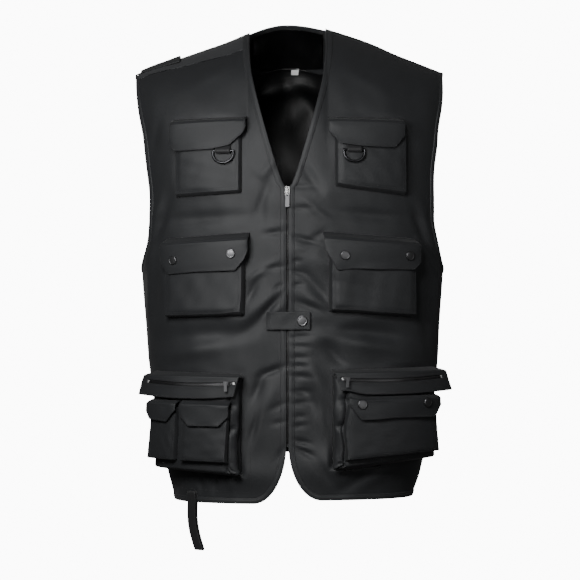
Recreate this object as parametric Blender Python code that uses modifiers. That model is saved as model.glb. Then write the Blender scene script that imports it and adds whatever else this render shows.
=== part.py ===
"""Utility work vest: a sleeveless zip-front vest with ten pockets, held up at the shoulders.

Metres, +Z up. The vest faces -Y, and +X is the viewer's right. The origin is in the middle of the neck, level
with the neck points. Every piece is a patch on one body surface, raised by its own height, so that all follow
the same sizes. A place on that surface is a turn (0 at the centre front, 1 or -1 at a side seam, 2 at the
centre back) and a height.
"""

from collections import namedtuple
from math import asin, cos, pi, radians, sin, sqrt

import bmesh
import bpy
from mathutils import Matrix, Vector

# Body
BODY_LENGTH = 0.665
BODY_WIDTH = 0.433
FRONT_DEPTH = 0.135
BACK_DEPTH = 0.122
SQUARENESS = 2.3
SIDE_ARC = 0.95
SEAM_ARC = 0.85
FOLD_ARC = 1.35
NECK_WIDTH = 0.112
SHOULDER_WIDTH = 0.441
SHOULDER_DROP = 0.060
FRONT_REACH = 0.200
BACK_REACH = 0.160
TIP_REACH = 0.45
NECK_STAND = 0.043
BACK_NECK_RISE = 0.016
BACK_HEM_RISE = 0.055
ARMHOLE_DROP = 0.337
OPENING_DROP = 0.228
CORNER_WIDTH = 0.047
CORNER_HEIGHT = 0.080

# Cloth and trim
CLOTH = 0.0020
BAG_CLOTH = 0.0014
FLAP_CLOTH = 0.0024
LINING_CLOTH = 0.0010
BAND_WIDTH = 0.0090
BAND_THICKNESS = 0.0030
BAND_PROUD = 0.0005
SEAM_GAP = 0.0006
TRIM_GAP = 0.0010
ARMHOLE_GAP = 0.0025
GAP = 0.0003
SEWN_GAP = 0.0015
ROOT_GAP = 0.0022
HOOD_ROOT_GAP = 0.0012
SMALL_ROOT_GAP = 0.0016
LAID_GAP = 0.0008
YOKE_DROP_NECK = 0.026
YOKE_DROP_TIP = 0.009
YOKE_GAP = 0.0010
FACING_DEPTH = 0.043
FACING_HANG = 0.0053
LINING_HANG = 0.0062
LINING_EDGE = 0.035
LINING_TOP = 0.105
LINING_END = 0.94
LABEL_OFFSET = 0.012
LABEL_WIDTH = 0.012
LABEL_HEIGHT = 0.009
LABEL_TUCK = 0.0015

# Shoulder tab
TAB_LENGTH = 0.057
TAB_DROP_NECK = 0.010
TAB_DROP_TIP = 0.004
TAB_INSET = 0.011

# Main zip
FRONT_GAP = 0.0022
CHAIN_WIDTH = 0.0060
CHAIN_THICKNESS = 0.0022
TAPE_WIDTH = 0.0100
SLIDER_WIDTH = 0.0068
SLIDER_LENGTH = 0.0100
SLIDER_PLATE = 0.0014
BRIDGE_WIDTH = 0.0016
BRIDGE_THICKNESS = 0.0010
PULL_LENGTH = 0.0200
PULL_WIDTH = 0.0056
PULL_THICKNESS = 0.0012
PULL_CLEARANCE = 0.0004
STOP_SIZE = 0.0024
RETAINER_WIDTH = 0.0070
RETAINER_LENGTH = 0.0040

# Waist tab and snaps
WAIST_TAB_WIDTH = 0.061
WAIST_TAB_HEIGHT = 0.0255
WAIST_TAB_DROP = 0.400
WAIST_TAB_OFFSET = 0.0015
TAB_SNAP_INSET = 0.0115
TAB_SNAP_RADIUS = 0.0074
SNAP_RADIUS = 0.0064
SMALL_SNAP_RADIUS = 0.0058
SNAP_HEIGHT = 0.0026
SNAP_SEAT = 0.0008

# Pockets
CHEST_DEPTH = 0.0090
WAIST_DEPTH = 0.0140
CARGO_DEPTH = 0.0270
SMALL_DEPTH = 0.0100
FLAP_CLEARANCE = 0.0010
CHEST_FLAP_CLEARANCE = 0.0042
CHEST_FLAP_HEIGHT = 0.046
WAIST_FLAP_HEIGHT = 0.051
SMALL_FLAP_HEIGHT = 0.033
SMALL_FLAP_OVER = 0.008
HOOD_HEIGHT = 0.031
HOOD_OVERHANG = 0.007
HOOD_ZIP_HEIGHT = 0.0050
HOOD_ZIP_THICKNESS = 0.0012
HOOD_ZIP_SAG = 0.0030
HOOD_ZIP_LEVEL = 0.60
HOOD_ZIP_ENDS = {"left": (0.06, 0.97), "right": (0.05, 0.95)}
HOOD_SLIDER_PLACE = {"left": 0.86, "right": 0.12}
MOUTH_DROP = 0.009
MOUTH_FULLNESS = 0.86

# D-rings and their webbing
RING_WIDTH = 0.033
RING_HEIGHT = 0.0205
RING_WIRE = 0.0036
RING_LEAN = 6.0
RING_BELOW_FLAP = 0.0052
RING_LEVEL = 0.64
RING_PLACE = {"left": 0.70, "right": 0.33}
WEBBING = 0.0010
WEBBING_WIDTH = 0.021
WEBBING_TAIL = 0.009
RING_CLEARANCE = 0.0003

# Hem loop
HEM_LOOP_WIDTH = 0.0165
HEM_LOOP_LENGTH = 0.073
HEM_LOOP_SEWN = 0.012
HEM_LOOP_FOLD = 0.0018
HEM_LOOP_PLACE = 0.615
HEM_LOOP_SLANT = 0.0060

TRIM = BAND_WIDTH + TRIM_GAP
ARMHOLE_TRIM = BAND_WIDTH + ARMHOLE_GAP
HALF_WIDTH = BODY_WIDTH / 2
NECK_HALF = NECK_WIDTH / 2
SHOULDER_HALF = SHOULDER_WIDTH / 2

ARMHOLE_STEPS = 10
ZIP_STEPS = 12

# Drop is a share of BODY_LENGTH, width and shift are shares of HALF_WIDTH, front and back of their depths.
Section = namedtuple("Section", "drop width front back shift")
SECTIONS = (
    Section(-0.10, 1.080, 0.92, 0.95, 0.005),
    Section(0.00, 1.075, 0.93, 0.97, 0.007),
    Section(0.15, 1.060, 0.95, 1.00, 0.013),
    Section(0.30, 1.020, 1.00, 1.03, 0.022),
    Section(0.41, 1.003, 1.00, 1.00, 0.030),
    Section(0.507, 1.000, 0.99, 0.97, 0.034),
    Section(0.63, 0.972, 0.96, 0.93, 0.036),
    Section(0.71, 0.956, 0.94, 0.92, 0.038),
    Section(0.83, 0.910, 0.92, 0.92, 0.042),
    Section(0.945, 0.838, 0.89, 0.90, 0.044),
    Section(1.00, 0.790, 0.86, 0.87, 0.038),
    Section(1.05, 0.760, 0.85, 0.86, 0.036),
)

# Out is the way from neck point to shoulder tip. Left and right are shares of SHOULDER_DROP.
Slope = namedtuple("Slope", "out left right")
SHOULDER_LINE = (
    Slope(0.0, 0.02, -0.08),
    Slope(0.2, 0.25, 0.09),
    Slope(0.4, 0.44, 0.285),
    Slope(0.6, 0.63, 0.53),
    Slope(0.8, 0.80, 0.745),
    Slope(1.0, 1.03, 0.96),
)

# Down is the way from shoulder tip to armhole bottom. Front and back are the turns of its two edges.
Armhole = namedtuple("Armhole", "down front back")
ARMHOLE_EDGE = (
    Armhole(0.00, 0.790, 1.200),
    Armhole(0.14, 0.775, 1.210),
    Armhole(0.325, 0.742, 1.230),
    Armhole(0.50, 0.730, 1.240),
    Armhole(0.65, 0.728, 1.240),
    Armhole(0.77, 0.742, 1.225),
    Armhole(0.87, 0.778, 1.185),
    Armhole(0.94, 0.835, 1.130),
    Armhole(0.985, 0.915, 1.065),
    Armhole(1.00, 1.000, 1.000),
)

# Drop is a share of OPENING_DROP, width a share of half the neck.
Neck = namedtuple("Neck", "drop width")
NECK_EDGE = (
    Neck(-0.10, 0.99),
    Neck(0.00, 0.985),
    Neck(0.16, 0.965),
    Neck(0.30, 0.890),
    Neck(0.47, 0.725),
    Neck(0.66, 0.510),
    Neck(0.86, 0.270),
    Neck(0.97, 0.110),
    Neck(1.00, 0.020),
)

# Where a fold lies (a turn, and a share of BODY_LENGTH), its half length and half width, its slant from level
# in degrees and how far it stands out. Lengths are shares of HALF_WIDTH.
Fold = namedtuple("Fold", "turn drop length width slant height")
FOLDS = (
    Fold(-0.13, 0.600, 0.20, 0.060, 38, 0.016),
    Fold(0.12, 0.500, 0.16, 0.060, -24, 0.014),
    Fold(0.13, 0.645, 0.18, 0.060, 30, 0.014),
    Fold(0.16, 0.800, 0.20, 0.065, -58, 0.014),
    Fold(-0.16, 0.860, 0.22, 0.070, 70, 0.012),
    Fold(0.12, 0.350, 0.18, 0.065, 25, 0.012),
    Fold(-0.78, 0.560, 0.30, 0.080, 75, 0.014),
    Fold(0.80, 0.560, 0.30, 0.080, -78, 0.014),
    Fold(1.45, 0.750, 0.70, 0.160, 84, 0.030),
    Fold(-1.45, 0.720, 0.70, 0.160, -86, 0.030),
    Fold(2.00, 0.800, 0.60, 0.150, 90, 0.026),
)

# Left and right ends as shares of HALF_WIDTH, heights at each end as shares of BODY_LENGTH.
Patch = namedtuple("Patch", "left right top_left top_right bottom_left bottom_right")
CHEST_BAGS = {
    "left": Patch(-0.718, -0.293, 0.1975, 0.1930, 0.3615, 0.3535),
    "right": Patch(0.305, 0.762, 0.1935, 0.1945, 0.3395, 0.3575),
}
CHEST_LIDS = {
    "left": Patch(-0.736, -0.258, 0.1975, 0.1930, 0, 0),
    "right": Patch(0.262, 0.735, 0.1935, 0.1945, 0, 0),
}
WAIST_BAGS = {
    "left": Patch(-0.770, -0.270, 0.4470, 0.4370, 0.6150, 0.6110),
    "right": Patch(0.264, 0.812, 0.4350, 0.4470, 0.6020, 0.6130),
}
WAIST_LIDS = {
    "left": Patch(-0.780, -0.244, 0.4475, 0.4355, 0, 0),
    "right": Patch(0.228, 0.820, 0.4335, 0.4475, 0, 0),
}
CARGO_BAGS = {
    "left": Patch(-0.785, -0.292, 0.7260, 0.7310, 0.9260, 0.9480),
    "right": Patch(0.288, 0.880, 0.7230, 0.7170, 0.9380, 0.9130),
}

# Ends as shares of the cargo pocket's width, bottom and top as shares of its height.
Inset = namedtuple("Inset", "name side left right bottom_left bottom_right top lid_top columns")
SMALL_BAGS = (
    Inset("outer", "left", 0.010, 0.325, 0.120, 0.125, 0.700, 0.790, 6),
    Inset("inner", "left", 0.350, 0.900, 0.135, 0.160, 0.700, 0.790, 7),
    Inset("right", "right", 0.100, 0.955, 0.122, 0.130, 0.700, 0.790, 9),
)

# A flap's lower edge: the way across it, and how far down that edge is as a share of the flap's height.
Edge = namedtuple("Edge", "across down")
LID_EDGES = {
    "chest_left": (Edge(0, 0.75), Edge(0.073, 0.99), Edge(0.55, 1.0), Edge(0.78, 0.91), Edge(0.96, 0.56),
                   Edge(1, 0.30)),
    "chest_right": (Edge(0, 0.50), Edge(0.145, 0.85), Edge(0.42, 0.92), Edge(0.86, 0.93), Edge(1, 0.55)),
    "waist_left": (Edge(0, 0.64), Edge(0.10, 1.0), Edge(0.42, 0.98), Edge(0.855, 1.02), Edge(0.97, 0.70),
                   Edge(1, 0.45)),
    "waist_right": (Edge(0, 0.50), Edge(0.04, 0.70), Edge(0.14, 1.0), Edge(0.93, 0.87), Edge(1, 0.63)),
    "small_outer": (Edge(0, 0.53), Edge(0.14, 0.86), Edge(0.70, 0.95), Edge(1, 0.45)),
    "small_inner": (Edge(0, 0.62), Edge(0.20, 1.08), Edge(0.80, 1.05), Edge(1, 0.62)),
    "small_right": (Edge(0, 0.38), Edge(0.137, 1.0), Edge(0.52, 0.96), Edge(0.93, 1.02), Edge(1, 0.48)),
}

# Where each snap sits: its flap, the way across it, and how far down the flap.
Snap = namedtuple("Snap", "lid across down")
WAIST_SNAPS = (
    Snap("left", 0.165, 0.62), Snap("left", 0.810, 0.54),
    Snap("right", 0.205, 0.66), Snap("right", 0.870, 0.50),
)
SMALL_SNAPS = (Snap("right", 0.165, 0.36), Snap("right", 0.855, 0.36))

Finish = namedtuple("Finish", "colour roughness metallic")
FINISHES = {
    "twill": Finish((0.030, 0.031, 0.032), 0.85, 0),
    "lining": Finish((0.008, 0.008, 0.009), 0.60, 0),
    "binding": Finish((0.036, 0.037, 0.038), 0.80, 0),
    "webbing": Finish((0.022, 0.022, 0.023), 0.90, 0),
    "zip": Finish((0.020, 0.020, 0.021), 0.50, 0),
    "gunmetal": Finish((0.105, 0.105, 0.110), 0.35, 1),
    "nickel": Finish((0.480, 0.480, 0.470), 0.28, 1),
    "label": Finish((0.800, 0.800, 0.790), 0.70, 0),
}


def lerp(start, end, share):
    """Value a share of the way from start to end."""
    return start + (end - start) * share


def read(rows, column, at, curved=True):
    """A table's named column at a place along its first column, on a curve or on straight lines."""
    keys = [row[0] for row in rows]
    values = [getattr(row, column) for row in rows]
    at = min(max(at, keys[0]), keys[-1])
    i = sum(at >= key for key in keys[1:-1])
    span = keys[i + 1] - keys[i]
    share = (at - keys[i]) / span
    if not curved:
        return lerp(values[i], values[i + 1], share)

    def tangent(k):
        low, high = max(k - 1, 0), min(k + 1, len(keys) - 1)
        return (values[high] - values[low]) / (keys[high] - keys[low]) * span

    square, cube = share ** 2, share ** 3
    return (values[i] * (2 * cube - 3 * square + 1) + tangent(i) * (cube - 2 * square + share)
            + values[i + 1] * (3 * square - 2 * cube) + tangent(i + 1) * (cube - square))


def side_name(x):
    """Which side of the centre a place is on, as the viewer sees it."""
    return "left" if x < 0 else "right"


def ridge_height(x):
    """Height of the shoulder ridge above a place across, which swells between the neck points."""
    out = (abs(x) - NECK_HALF) / (SHOULDER_HALF - NECK_HALF)
    slope = -SHOULDER_DROP * read(SHOULDER_LINE, side_name(x), out)
    if out >= 0:
        return slope
    middle = -SHOULDER_DROP * (SHOULDER_LINE[0].left + SHOULDER_LINE[0].right) / 2
    share = (x / NECK_HALF) ** 2
    return lerp(middle + NECK_STAND, slope, share)


def back_neck_height(x):
    """Height of the back neck's top edge."""
    return ridge_height(x) - (NECK_STAND - BACK_NECK_RISE) * max(0, 1 - (x / NECK_HALF) ** 2)


def hem_height(turn):
    """Height of the hem: level in front, and a little higher at the centre back."""
    behind = max(0, abs(turn) - 1)
    return -BODY_LENGTH + BACK_HEM_RISE * sin(behind * pi / 2) ** 2


def rise(share):
    """How fast the surface comes forward, or back, below the shoulder ridge."""
    share = min(max(share, 0), 1)
    return (1 - (1 - share) ** 2.2) ** 0.6


def fold_height(turn, z):
    """How far the folds push the surface out at a place."""
    total = 0
    for fold in FOLDS:
        gap = turn - fold.turn
        if gap < -2:
            gap += 4
        across = gap * FOLD_ARC
        along = (z + fold.drop * BODY_LENGTH) / HALF_WIDTH
        slant = radians(fold.slant)
        length = (across * cos(slant) + along * sin(slant)) / fold.length
        width = (along * cos(slant) - across * sin(slant)) / fold.width
        reach = length ** 2 + width ** 2
        if reach < 9:
            total += fold.height * HALF_WIDTH * 2.718 ** -reach
    return total


def body_point(turn, z):
    """The place on the body surface at a turn and a height."""
    if turn > 2:
        turn -= 4
    drop = -z / BODY_LENGTH
    half = HALF_WIDTH * read(SECTIONS, "width", drop)
    ahead = abs(turn) < 1
    column, full = ("front", -FRONT_DEPTH) if ahead else ("back", BACK_DEPTH)
    depth = full * read(SECTIONS, column, drop)
    angle = abs(turn) * pi / 2
    across = sin(angle) ** (2 / SQUARENESS) * (1 if turn >= 0 else -1)
    along = abs(cos(angle)) ** (2 / SQUARENESS)
    x = HALF_WIDTH * read(SECTIONS, "shift", drop) + half * across
    out = min(max((abs(x) - NECK_HALF) / (SHOULDER_HALF - NECK_HALF), 0), 1)
    reach = (FRONT_REACH if ahead else BACK_REACH) * lerp(1, TIP_REACH, out)
    seam = -SEAM_GAP if ahead else SEAM_GAP
    y = depth * along * rise((ridge_height(x) - z) / reach)
    swell = fold_height(turn, z) / sqrt((across * abs(depth)) ** 2 + (along * half) ** 2 + 1e-12)
    y += seam * 1.4 * (1 - abs(across) ** 24) + swell * along * half * (-1 if ahead else 1)
    return Vector((x + swell * across * abs(depth), y, z))


def turn_at(x, z):
    """The turn in front at a place across and a height."""
    drop = -z / BODY_LENGTH
    share = (x - HALF_WIDTH * read(SECTIONS, "shift", drop)) / (HALF_WIDTH * read(SECTIONS, "width", drop))
    turn = asin(min(abs(share), 1) ** (SQUARENESS / 2)) * 2 / pi
    return turn if share >= 0 else -turn


def raised(place, u, v, height):
    """A place raised along its surface's normal. The surface runs right and up seen from outside."""
    step = 0.004
    across = place(u + step, v) - place(u - step, v)
    up = place(u, v + step) - place(u, v - step)
    return place(u, v) + across.cross(up).normalized() * height


def seat(place, u, v, height):
    """The placing of a piece on a surface: X runs right and level, -Y outward and Z up along the surface."""
    step = 0.01
    across = place(u + step, v) - place(u - step, v)
    up = place(u, v + step) - place(u, v - step)
    outward = across.cross(up).normalized()
    level = Vector((0, 0, 1)).cross(-outward)
    level = -level.normalized()
    if level.x < 0:
        level = -level
    upward = level.cross(-outward).normalized()
    if upward.z < 0:
        upward = -upward
    axes = Matrix((level, -outward, upward)).transposed().to_4x4()
    axes.translation = place(u, v) + outward * height
    return axes


def material(name):
    """The plain material of a finish, made once."""
    found = bpy.data.materials.get(name)
    if found:
        return found
    finish = FINISHES[name]
    made = bpy.data.materials.new(name)
    made.use_nodes = True
    shader = made.node_tree.nodes["Principled BSDF"]
    shader.inputs["Base Color"].default_value = (*finish.colour, 1)
    shader.inputs["Roughness"].default_value = finish.roughness
    shader.inputs["Metallic"].default_value = finish.metallic
    return made


def add_object(name, data, finish):
    """Put a mesh or curve into the vest's collection as a named piece with its own material."""
    item = bpy.data.objects.new(name, data)
    own = material(finish).copy()
    own.name = name
    data.materials.append(own)
    bpy.data.collections["utility_work_vest"].objects.link(item)
    return item


def sheet(name, columns, rows, place, thickness, finish):
    """A patch of cloth: a grid laid on place(column share, row share), with its thickness added inward."""
    mesh = bpy.data.meshes.new(name)
    grid = bmesh.new()
    bmesh.ops.create_grid(grid, x_segments=columns, y_segments=rows, size=0.5)
    for vert in grid.verts:
        vert.co = place(vert.co.x + 0.5, vert.co.y + 0.5)
    grid.to_mesh(mesh)
    grid.free()
    mesh.shade_smooth()
    item = add_object(name, mesh, finish)
    shell = item.modifiers.new("thickness", "SOLIDIFY")
    shell.thickness = thickness
    shell.offset = -1
    return item


def along_list(values, share):
    """The value of an evenly spaced list at a share of its length."""
    at = min(max(share, 0), 1) * (len(values) - 1)
    i = min(int(at), len(values) - 2)
    return lerp(values[i], values[i + 1], at - i)


def opening_edge(z, inset):
    """How far the front edge is from the centre at a height, in by an inset."""
    drop = -z
    corner_top = BODY_LENGTH - CORNER_HEIGHT
    if drop <= OPENING_DROP:
        width = read(NECK_EDGE, "width", drop / OPENING_DROP) * NECK_HALF
        return max(width, FRONT_GAP / 2) + inset
    if drop <= corner_top:
        return FRONT_GAP / 2 + inset
    down = min((drop - corner_top) / (CORNER_HEIGHT - inset), 1)
    return FRONT_GAP / 2 + inset + (CORNER_WIDTH - inset) * (1 - sqrt(1 - down ** 2))


def armhole_path(side, inset):
    """Turns and heights along the armhole's edge, from the shoulder in front round to the shoulder behind."""
    sign = -1 if side == "left" else 1
    tip = ridge_height(sign * SHOULDER_HALF)
    bottom = -ARMHOLE_DROP
    downs = [1 - (1 - k / ARMHOLE_STEPS) ** 1.5 for k in range(ARMHOLE_STEPS + 1)]
    downs.insert(1, downs[1] * 0.35)
    path = [(read(ARMHOLE_EDGE, "front", down), lerp(tip, bottom, down)) for down in downs]
    path += [(read(ARMHOLE_EDGE, "back", down), lerp(tip, bottom, down)) for down in reversed(downs[:-1])]
    moved = []
    arc = HALF_WIDTH * SIDE_ARC
    for i, (turn, z) in enumerate(path):
        before, after = path[max(i - 1, 0)], path[min(i + 1, len(path) - 1)]
        run, fall = (after[0] - before[0]) * arc, after[1] - before[1]
        size = sqrt(run ** 2 + fall ** 2)
        moved.append((sign * (turn + inset * fall / size / arc), z - inset * run / size))
    moved[0] = (moved[0][0], tip)
    moved[-1] = (moved[-1][0], tip)
    return moved


ARMHOLE_TRIMMED = {side: armhole_path(side, ARMHOLE_TRIM) for side in ("left", "right")}


def side_edge(side, z, behind):
    """The turn of a body panel's outer edge at a height: the armhole's edge, or the side seam below it."""
    sign = -1 if side == "left" else 1
    path = ARMHOLE_TRIMMED[side]
    middle = len(path) // 2
    half = path[middle:] if behind else path[:middle + 1][::-1]
    seam = sign * (1 + (SEAM_GAP if behind else -SEAM_GAP) / (HALF_WIDTH * SEAM_ARC))
    for low, high in zip(half, half[1:]):
        if low[1] <= z <= high[1]:
            turn = lerp(low[0], high[0], (z - low[1]) / (high[1] - low[1]))
            return max(abs(turn), abs(seam)) * sign if behind else min(abs(turn), abs(seam)) * sign
    return half[-1][0] if z > half[-1][1] else seam


def panel_rows(side, top):
    """Shares down a panel's outer edge, at the heights of the armhole's steps and on to the hem."""
    bottom = -BODY_LENGTH + TRIM
    edge = ARMHOLE_TRIMMED[side][1:ARMHOLE_STEPS + 2]
    upper = [0] + [(top - z) / (top - bottom) for _, z in edge]
    lower = [lerp(upper[-1], 1, 1 - (1 - k / 8) ** 1.5) for k in range(1, 9)]
    lower.insert(-1, lerp(lower[-2], 1, 0.7))
    return upper + lower


def yoke_drop(x):
    """How far below the shoulder ridge the yoke's front seam lies, viewer's left."""
    out = (abs(x) - NECK_HALF) / (SHOULDER_HALF - NECK_HALF)
    return lerp(YOKE_DROP_NECK, YOKE_DROP_TIP, min(max(out, 0), 1))


def front_place(side, u, down):
    """A place on a front panel: u across from left to right, down from its top edge to its hem."""
    sign = -1 if side == "left" else 1

    def height(x):
        top = ridge_height(x)
        if side == "left":
            top -= yoke_drop(x) + YOKE_GAP
        return lerp(top, -BODY_LENGTH + TRIM, down)

    inner_x, outer_x = sign * NECK_HALF, sign * SHOULDER_HALF
    for _ in range(3):
        inner_z = height(inner_x)
        inner_x = sign * opening_edge(inner_z, TRIM)
        outer_z = height(outer_x)
        outer_turn = side_edge(side, outer_z, False)
        outer_x = body_point(outer_turn, outer_z).x
    inner_turn = turn_at(inner_x, inner_z)
    share = 1 - u if side == "left" else u
    turn = lerp(inner_turn, outer_turn, share)
    x = body_point(turn, lerp(inner_z, outer_z, share)).x
    return body_point(turn, height(x))


def front_panel(side):
    """One front of the vest, from the shoulder to the hem."""
    sign = -1 if side == "left" else 1
    top = ridge_height(sign * SHOULDER_HALF)
    if side == "left":
        top -= YOKE_DROP_TIP + YOKE_GAP
    rows = panel_rows(side, top)
    return sheet("front_" + side, 10, len(rows) - 1,
                 lambda u, v: front_place(side, u, along_list(rows, 1 - v)), CLOTH, "twill")


def back_place(u, down):
    """A place on the back panel: u across as seen from behind, down from its top edge to its hem."""
    edges = []
    for side, sign in (("right", 1), ("left", -1)):
        x = sign * SHOULDER_HALF
        for _ in range(3):
            z = lerp(ridge_height(x), hem_height(1) + TRIM, down)
            turn = side_edge(side, z, True)
            x = body_point(turn, z).x
        edges.append(turn if sign > 0 else turn + 4)
    away = 2 * u - 1
    turn = lerp(edges[0], edges[1], 0.5 + 0.5 * away * (0.65 + 0.35 * away ** 2))
    x = body_point(turn, -BODY_LENGTH * 0.3).x
    for _ in range(2):
        beside = min(max((NECK_HALF + 3 * BAND_WIDTH - abs(x)) / BAND_WIDTH, 0), 1)
        top = back_neck_height(x) - TRIM * beside
        flat = turn if turn <= 2 else turn - 4
        z = lerp(top, hem_height(flat) + TRIM, down)
        x = body_point(turn, z).x
    return body_point(turn, z)


def back_panel():
    """The whole back of the vest."""
    rows = panel_rows("right", ridge_height(SHOULDER_HALF))
    return sheet("back_panel", 16, len(rows) - 1,
                 lambda u, v: back_place(u, along_list(rows, 1 - v)), CLOTH, "twill")


def yoke():
    """The forward part of the shoulder on the viewer's left, down to its seam."""

    def place(u, v):
        drop_share = (1 - v) ** 1.6
        inner = -opening_edge(0, TRIM)
        z_tip = ridge_height(-SHOULDER_HALF) - YOKE_DROP_TIP * drop_share
        outer = body_point(side_edge("left", z_tip, False), z_tip).x
        x = lerp(outer, inner, u)
        z = ridge_height(x) - yoke_drop(x) * drop_share
        return body_point(turn_at(x, z), z)

    return sheet("shoulder_yoke", 9, 3, place, CLOTH, "twill")


def shoulder_tab():
    """The strap that lies along the shoulder over the yoke, across the shoulder ridge."""
    outer = -SHOULDER_HALF + TAB_INSET

    def place(u, v):
        x = lerp(outer, outer + TAB_LENGTH, u)
        across = 2 * v - 1
        drop = lerp(TAB_DROP_TIP, TAB_DROP_NECK, u) * across ** 2
        z = ridge_height(x) - drop
        turn = turn_at(x, z)
        if across <= 0:
            return body_point(turn, z)
        return body_point(-2 - turn, z)

    lift = FLAP_CLOTH + LAID_GAP
    return sheet("shoulder_tab", 6, 6, lambda u, v: raised(place, u, v, lift), FLAP_CLOTH, "twill")


def ribbon(name, outer, inner, finish="binding"):
    """A band between two paths of turns and heights, as thick as a binding."""
    count = len(outer) - 1

    def place(u, v):
        at = v * count
        i = min(int(at + 1e-6), count - 1)
        share = at - i
        ends = [lerp(Vector(path[i]), Vector(path[i + 1]), share) for path in (outer, inner)]
        spot = lerp(ends[0], ends[1], u)
        return body_point(spot.x, spot.y)

    return sheet(name, 1, count, lambda u, v: raised(place, u, v, BAND_PROUD), BAND_THICKNESS, finish)


def front_edge_path(side, inset):
    """Turns and heights along the front edge: the neck, the zip, the corner and the hem."""
    sign = -1 if side == "left" else 1
    path = []
    top = ridge_height(sign * NECK_HALF)
    for k in range(10):
        z = lerp(top, -OPENING_DROP, k / 9)
        path.append((turn_at(sign * opening_edge(z, inset), z), z))
    corner_top = -BODY_LENGTH + CORNER_HEIGHT
    for k in range(1, ZIP_STEPS + 1):
        z = lerp(-OPENING_DROP, corner_top, k / ZIP_STEPS)
        path.append((turn_at(sign * opening_edge(z, inset), z), z))
    for k in range(1, 9):
        angle = k / 8 * pi / 2
        x = sign * (FRONT_GAP / 2 + inset + (CORNER_WIDTH - inset) * (1 - cos(angle)))
        z = corner_top - (CORNER_HEIGHT - inset) * sin(angle)
        path.append((turn_at(x, z), z))
    z = -BODY_LENGTH + inset
    start = path[-1][0]
    seam = sign * (1 - SEAM_GAP / (HALF_WIDTH * SEAM_ARC))
    for k in range(1, 11):
        path.append((lerp(start, seam, k / 10), z))
    return path


def bindings():
    """The bands that edge the fronts, the back neck, the back hem and the armholes."""
    for side in ("left", "right"):
        outer = front_edge_path(side, 0)
        inner = front_edge_path(side, BAND_WIDTH)
        pair = (inner, outer) if side == "left" else (outer, inner)
        ribbon("front_binding_" + side, *(path[::-1] for path in pair))
        outer = armhole_path(side, 0)
        inner = armhole_path(side, BAND_WIDTH)
        pair = (outer, inner) if side == "left" else (inner, outer)
        ribbon("armhole_binding_" + side, *(path[::-1] for path in pair))
    neck_binding()
    seams = (1 + SEAM_GAP / (HALF_WIDTH * SEAM_ARC), 3 - SEAM_GAP / (HALF_WIDTH * SEAM_ARC))
    turns = [lerp(seams[0], seams[1], k / 18) for k in range(19)]
    low = [(turn, hem_height(turn if turn <= 2 else turn - 4)) for turn in turns]
    high = [(turn, z + BAND_WIDTH) for turn, z in low]
    ribbon("back_hem_binding", high, low)


def neck_binding():
    """The band along the top of the back neck."""

    def place(u, v):
        x = (NECK_HALF - SEAM_GAP) * (1 - 2 * u)
        z = back_neck_height(x) - BAND_WIDTH * (1 - v)
        turn = turn_at(x, z)
        return body_point(2 - turn if turn >= 0 else -2 - turn, z)

    def band(u, v):
        return raised(place, u, v, BAND_PROUD)

    return sheet("neck_binding", 14, 1, band, BAND_THICKNESS, "binding")


def inner_back():
    """The facing inside the back neck, the lining below it, and the blank label between them."""

    def facing(u, v):
        x = (NECK_HALF - BAND_WIDTH * 0.8) * (1 - 2 * u)
        z = lerp(-FACING_DEPTH, back_neck_height(x) - TRIM - TRIM_GAP, v)
        turn = turn_at(x, z)
        return body_point(2 - turn if turn >= 0 else -2 - turn, z)

    def lining(u, v):
        return back_place(lerp(LINING_EDGE, 1 - LINING_EDGE, u), lerp(LINING_END, LINING_TOP, v))

    def label(u, v):
        x = LABEL_OFFSET + LABEL_WIDTH * (0.5 - u)
        z = -FACING_DEPTH + LABEL_TUCK - LABEL_HEIGHT * (1 - v)
        return body_point(2 - turn_at(x, z), z)

    sheet("neck_facing", 8, 3, lambda u, v: raised(facing, u, v, -FACING_HANG), LINING_CLOTH, "lining")
    sheet("back_lining", 8, 8, lambda u, v: raised(lining, u, v, -LINING_HANG), LINING_CLOTH, "lining")
    inside = FACING_HANG + LINING_CLOTH + LAID_GAP
    sheet("neck_label", 2, 1, lambda u, v: raised(label, u, v, -inside), LINING_CLOTH, "label")


def centre_place(u, v):
    """A place on the body by its way across and up, in metres, for pieces near the zip."""
    return body_point(turn_at(u, v), v)


def strip(name, left, right, bottom, top, rows, height, thickness, finish, columns=1):
    """A level-sided strip on the body, from heights and ways across in metres."""

    def place(u, v):
        spot = Vector((lerp(left, right, u), 0, lerp(bottom, top, v)))
        return raised(centre_place, spot.x, spot.z, height)

    return sheet(name, columns, rows, place, thickness, finish)


def main_zip():
    """The zip between the fronts: its tapes and chain behind them, with stops, retainer, slider and pull."""
    behind = -(BAND_THICKNESS - BAND_PROUD + GAP * 2)
    top, bottom = -OPENING_DROP, -BODY_LENGTH + CORNER_HEIGHT
    half = CHAIN_WIDTH / 2
    strip("zip_chain", -half, half, bottom, top, ZIP_STEPS, behind, CHAIN_THICKNESS, "zip")
    far = half + GAP + TAPE_WIDTH
    low = behind - SEWN_GAP
    strip("zip_tape_left", -far, -half - GAP, bottom, top, ZIP_STEPS, low, LINING_CLOTH, "zip")
    strip("zip_tape_right", half + GAP, far, bottom, top, ZIP_STEPS, low, LINING_CLOTH, "zip")
    for side, sign in (("left", -1), ("right", 1)):
        x = sign * (half - STOP_SIZE / 2)
        strip("zip_stop_" + side, x - STOP_SIZE / 2, x + STOP_SIZE / 2, top + GAP, top + GAP + STOP_SIZE, 1,
              behind, CHAIN_THICKNESS, "nickel")
    low = bottom - GAP - RETAINER_LENGTH
    strip("zip_retainer", -RETAINER_WIDTH / 2, RETAINER_WIDTH / 2, low, bottom - GAP, 1, behind,
          CHAIN_THICKNESS, "gunmetal")


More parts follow.
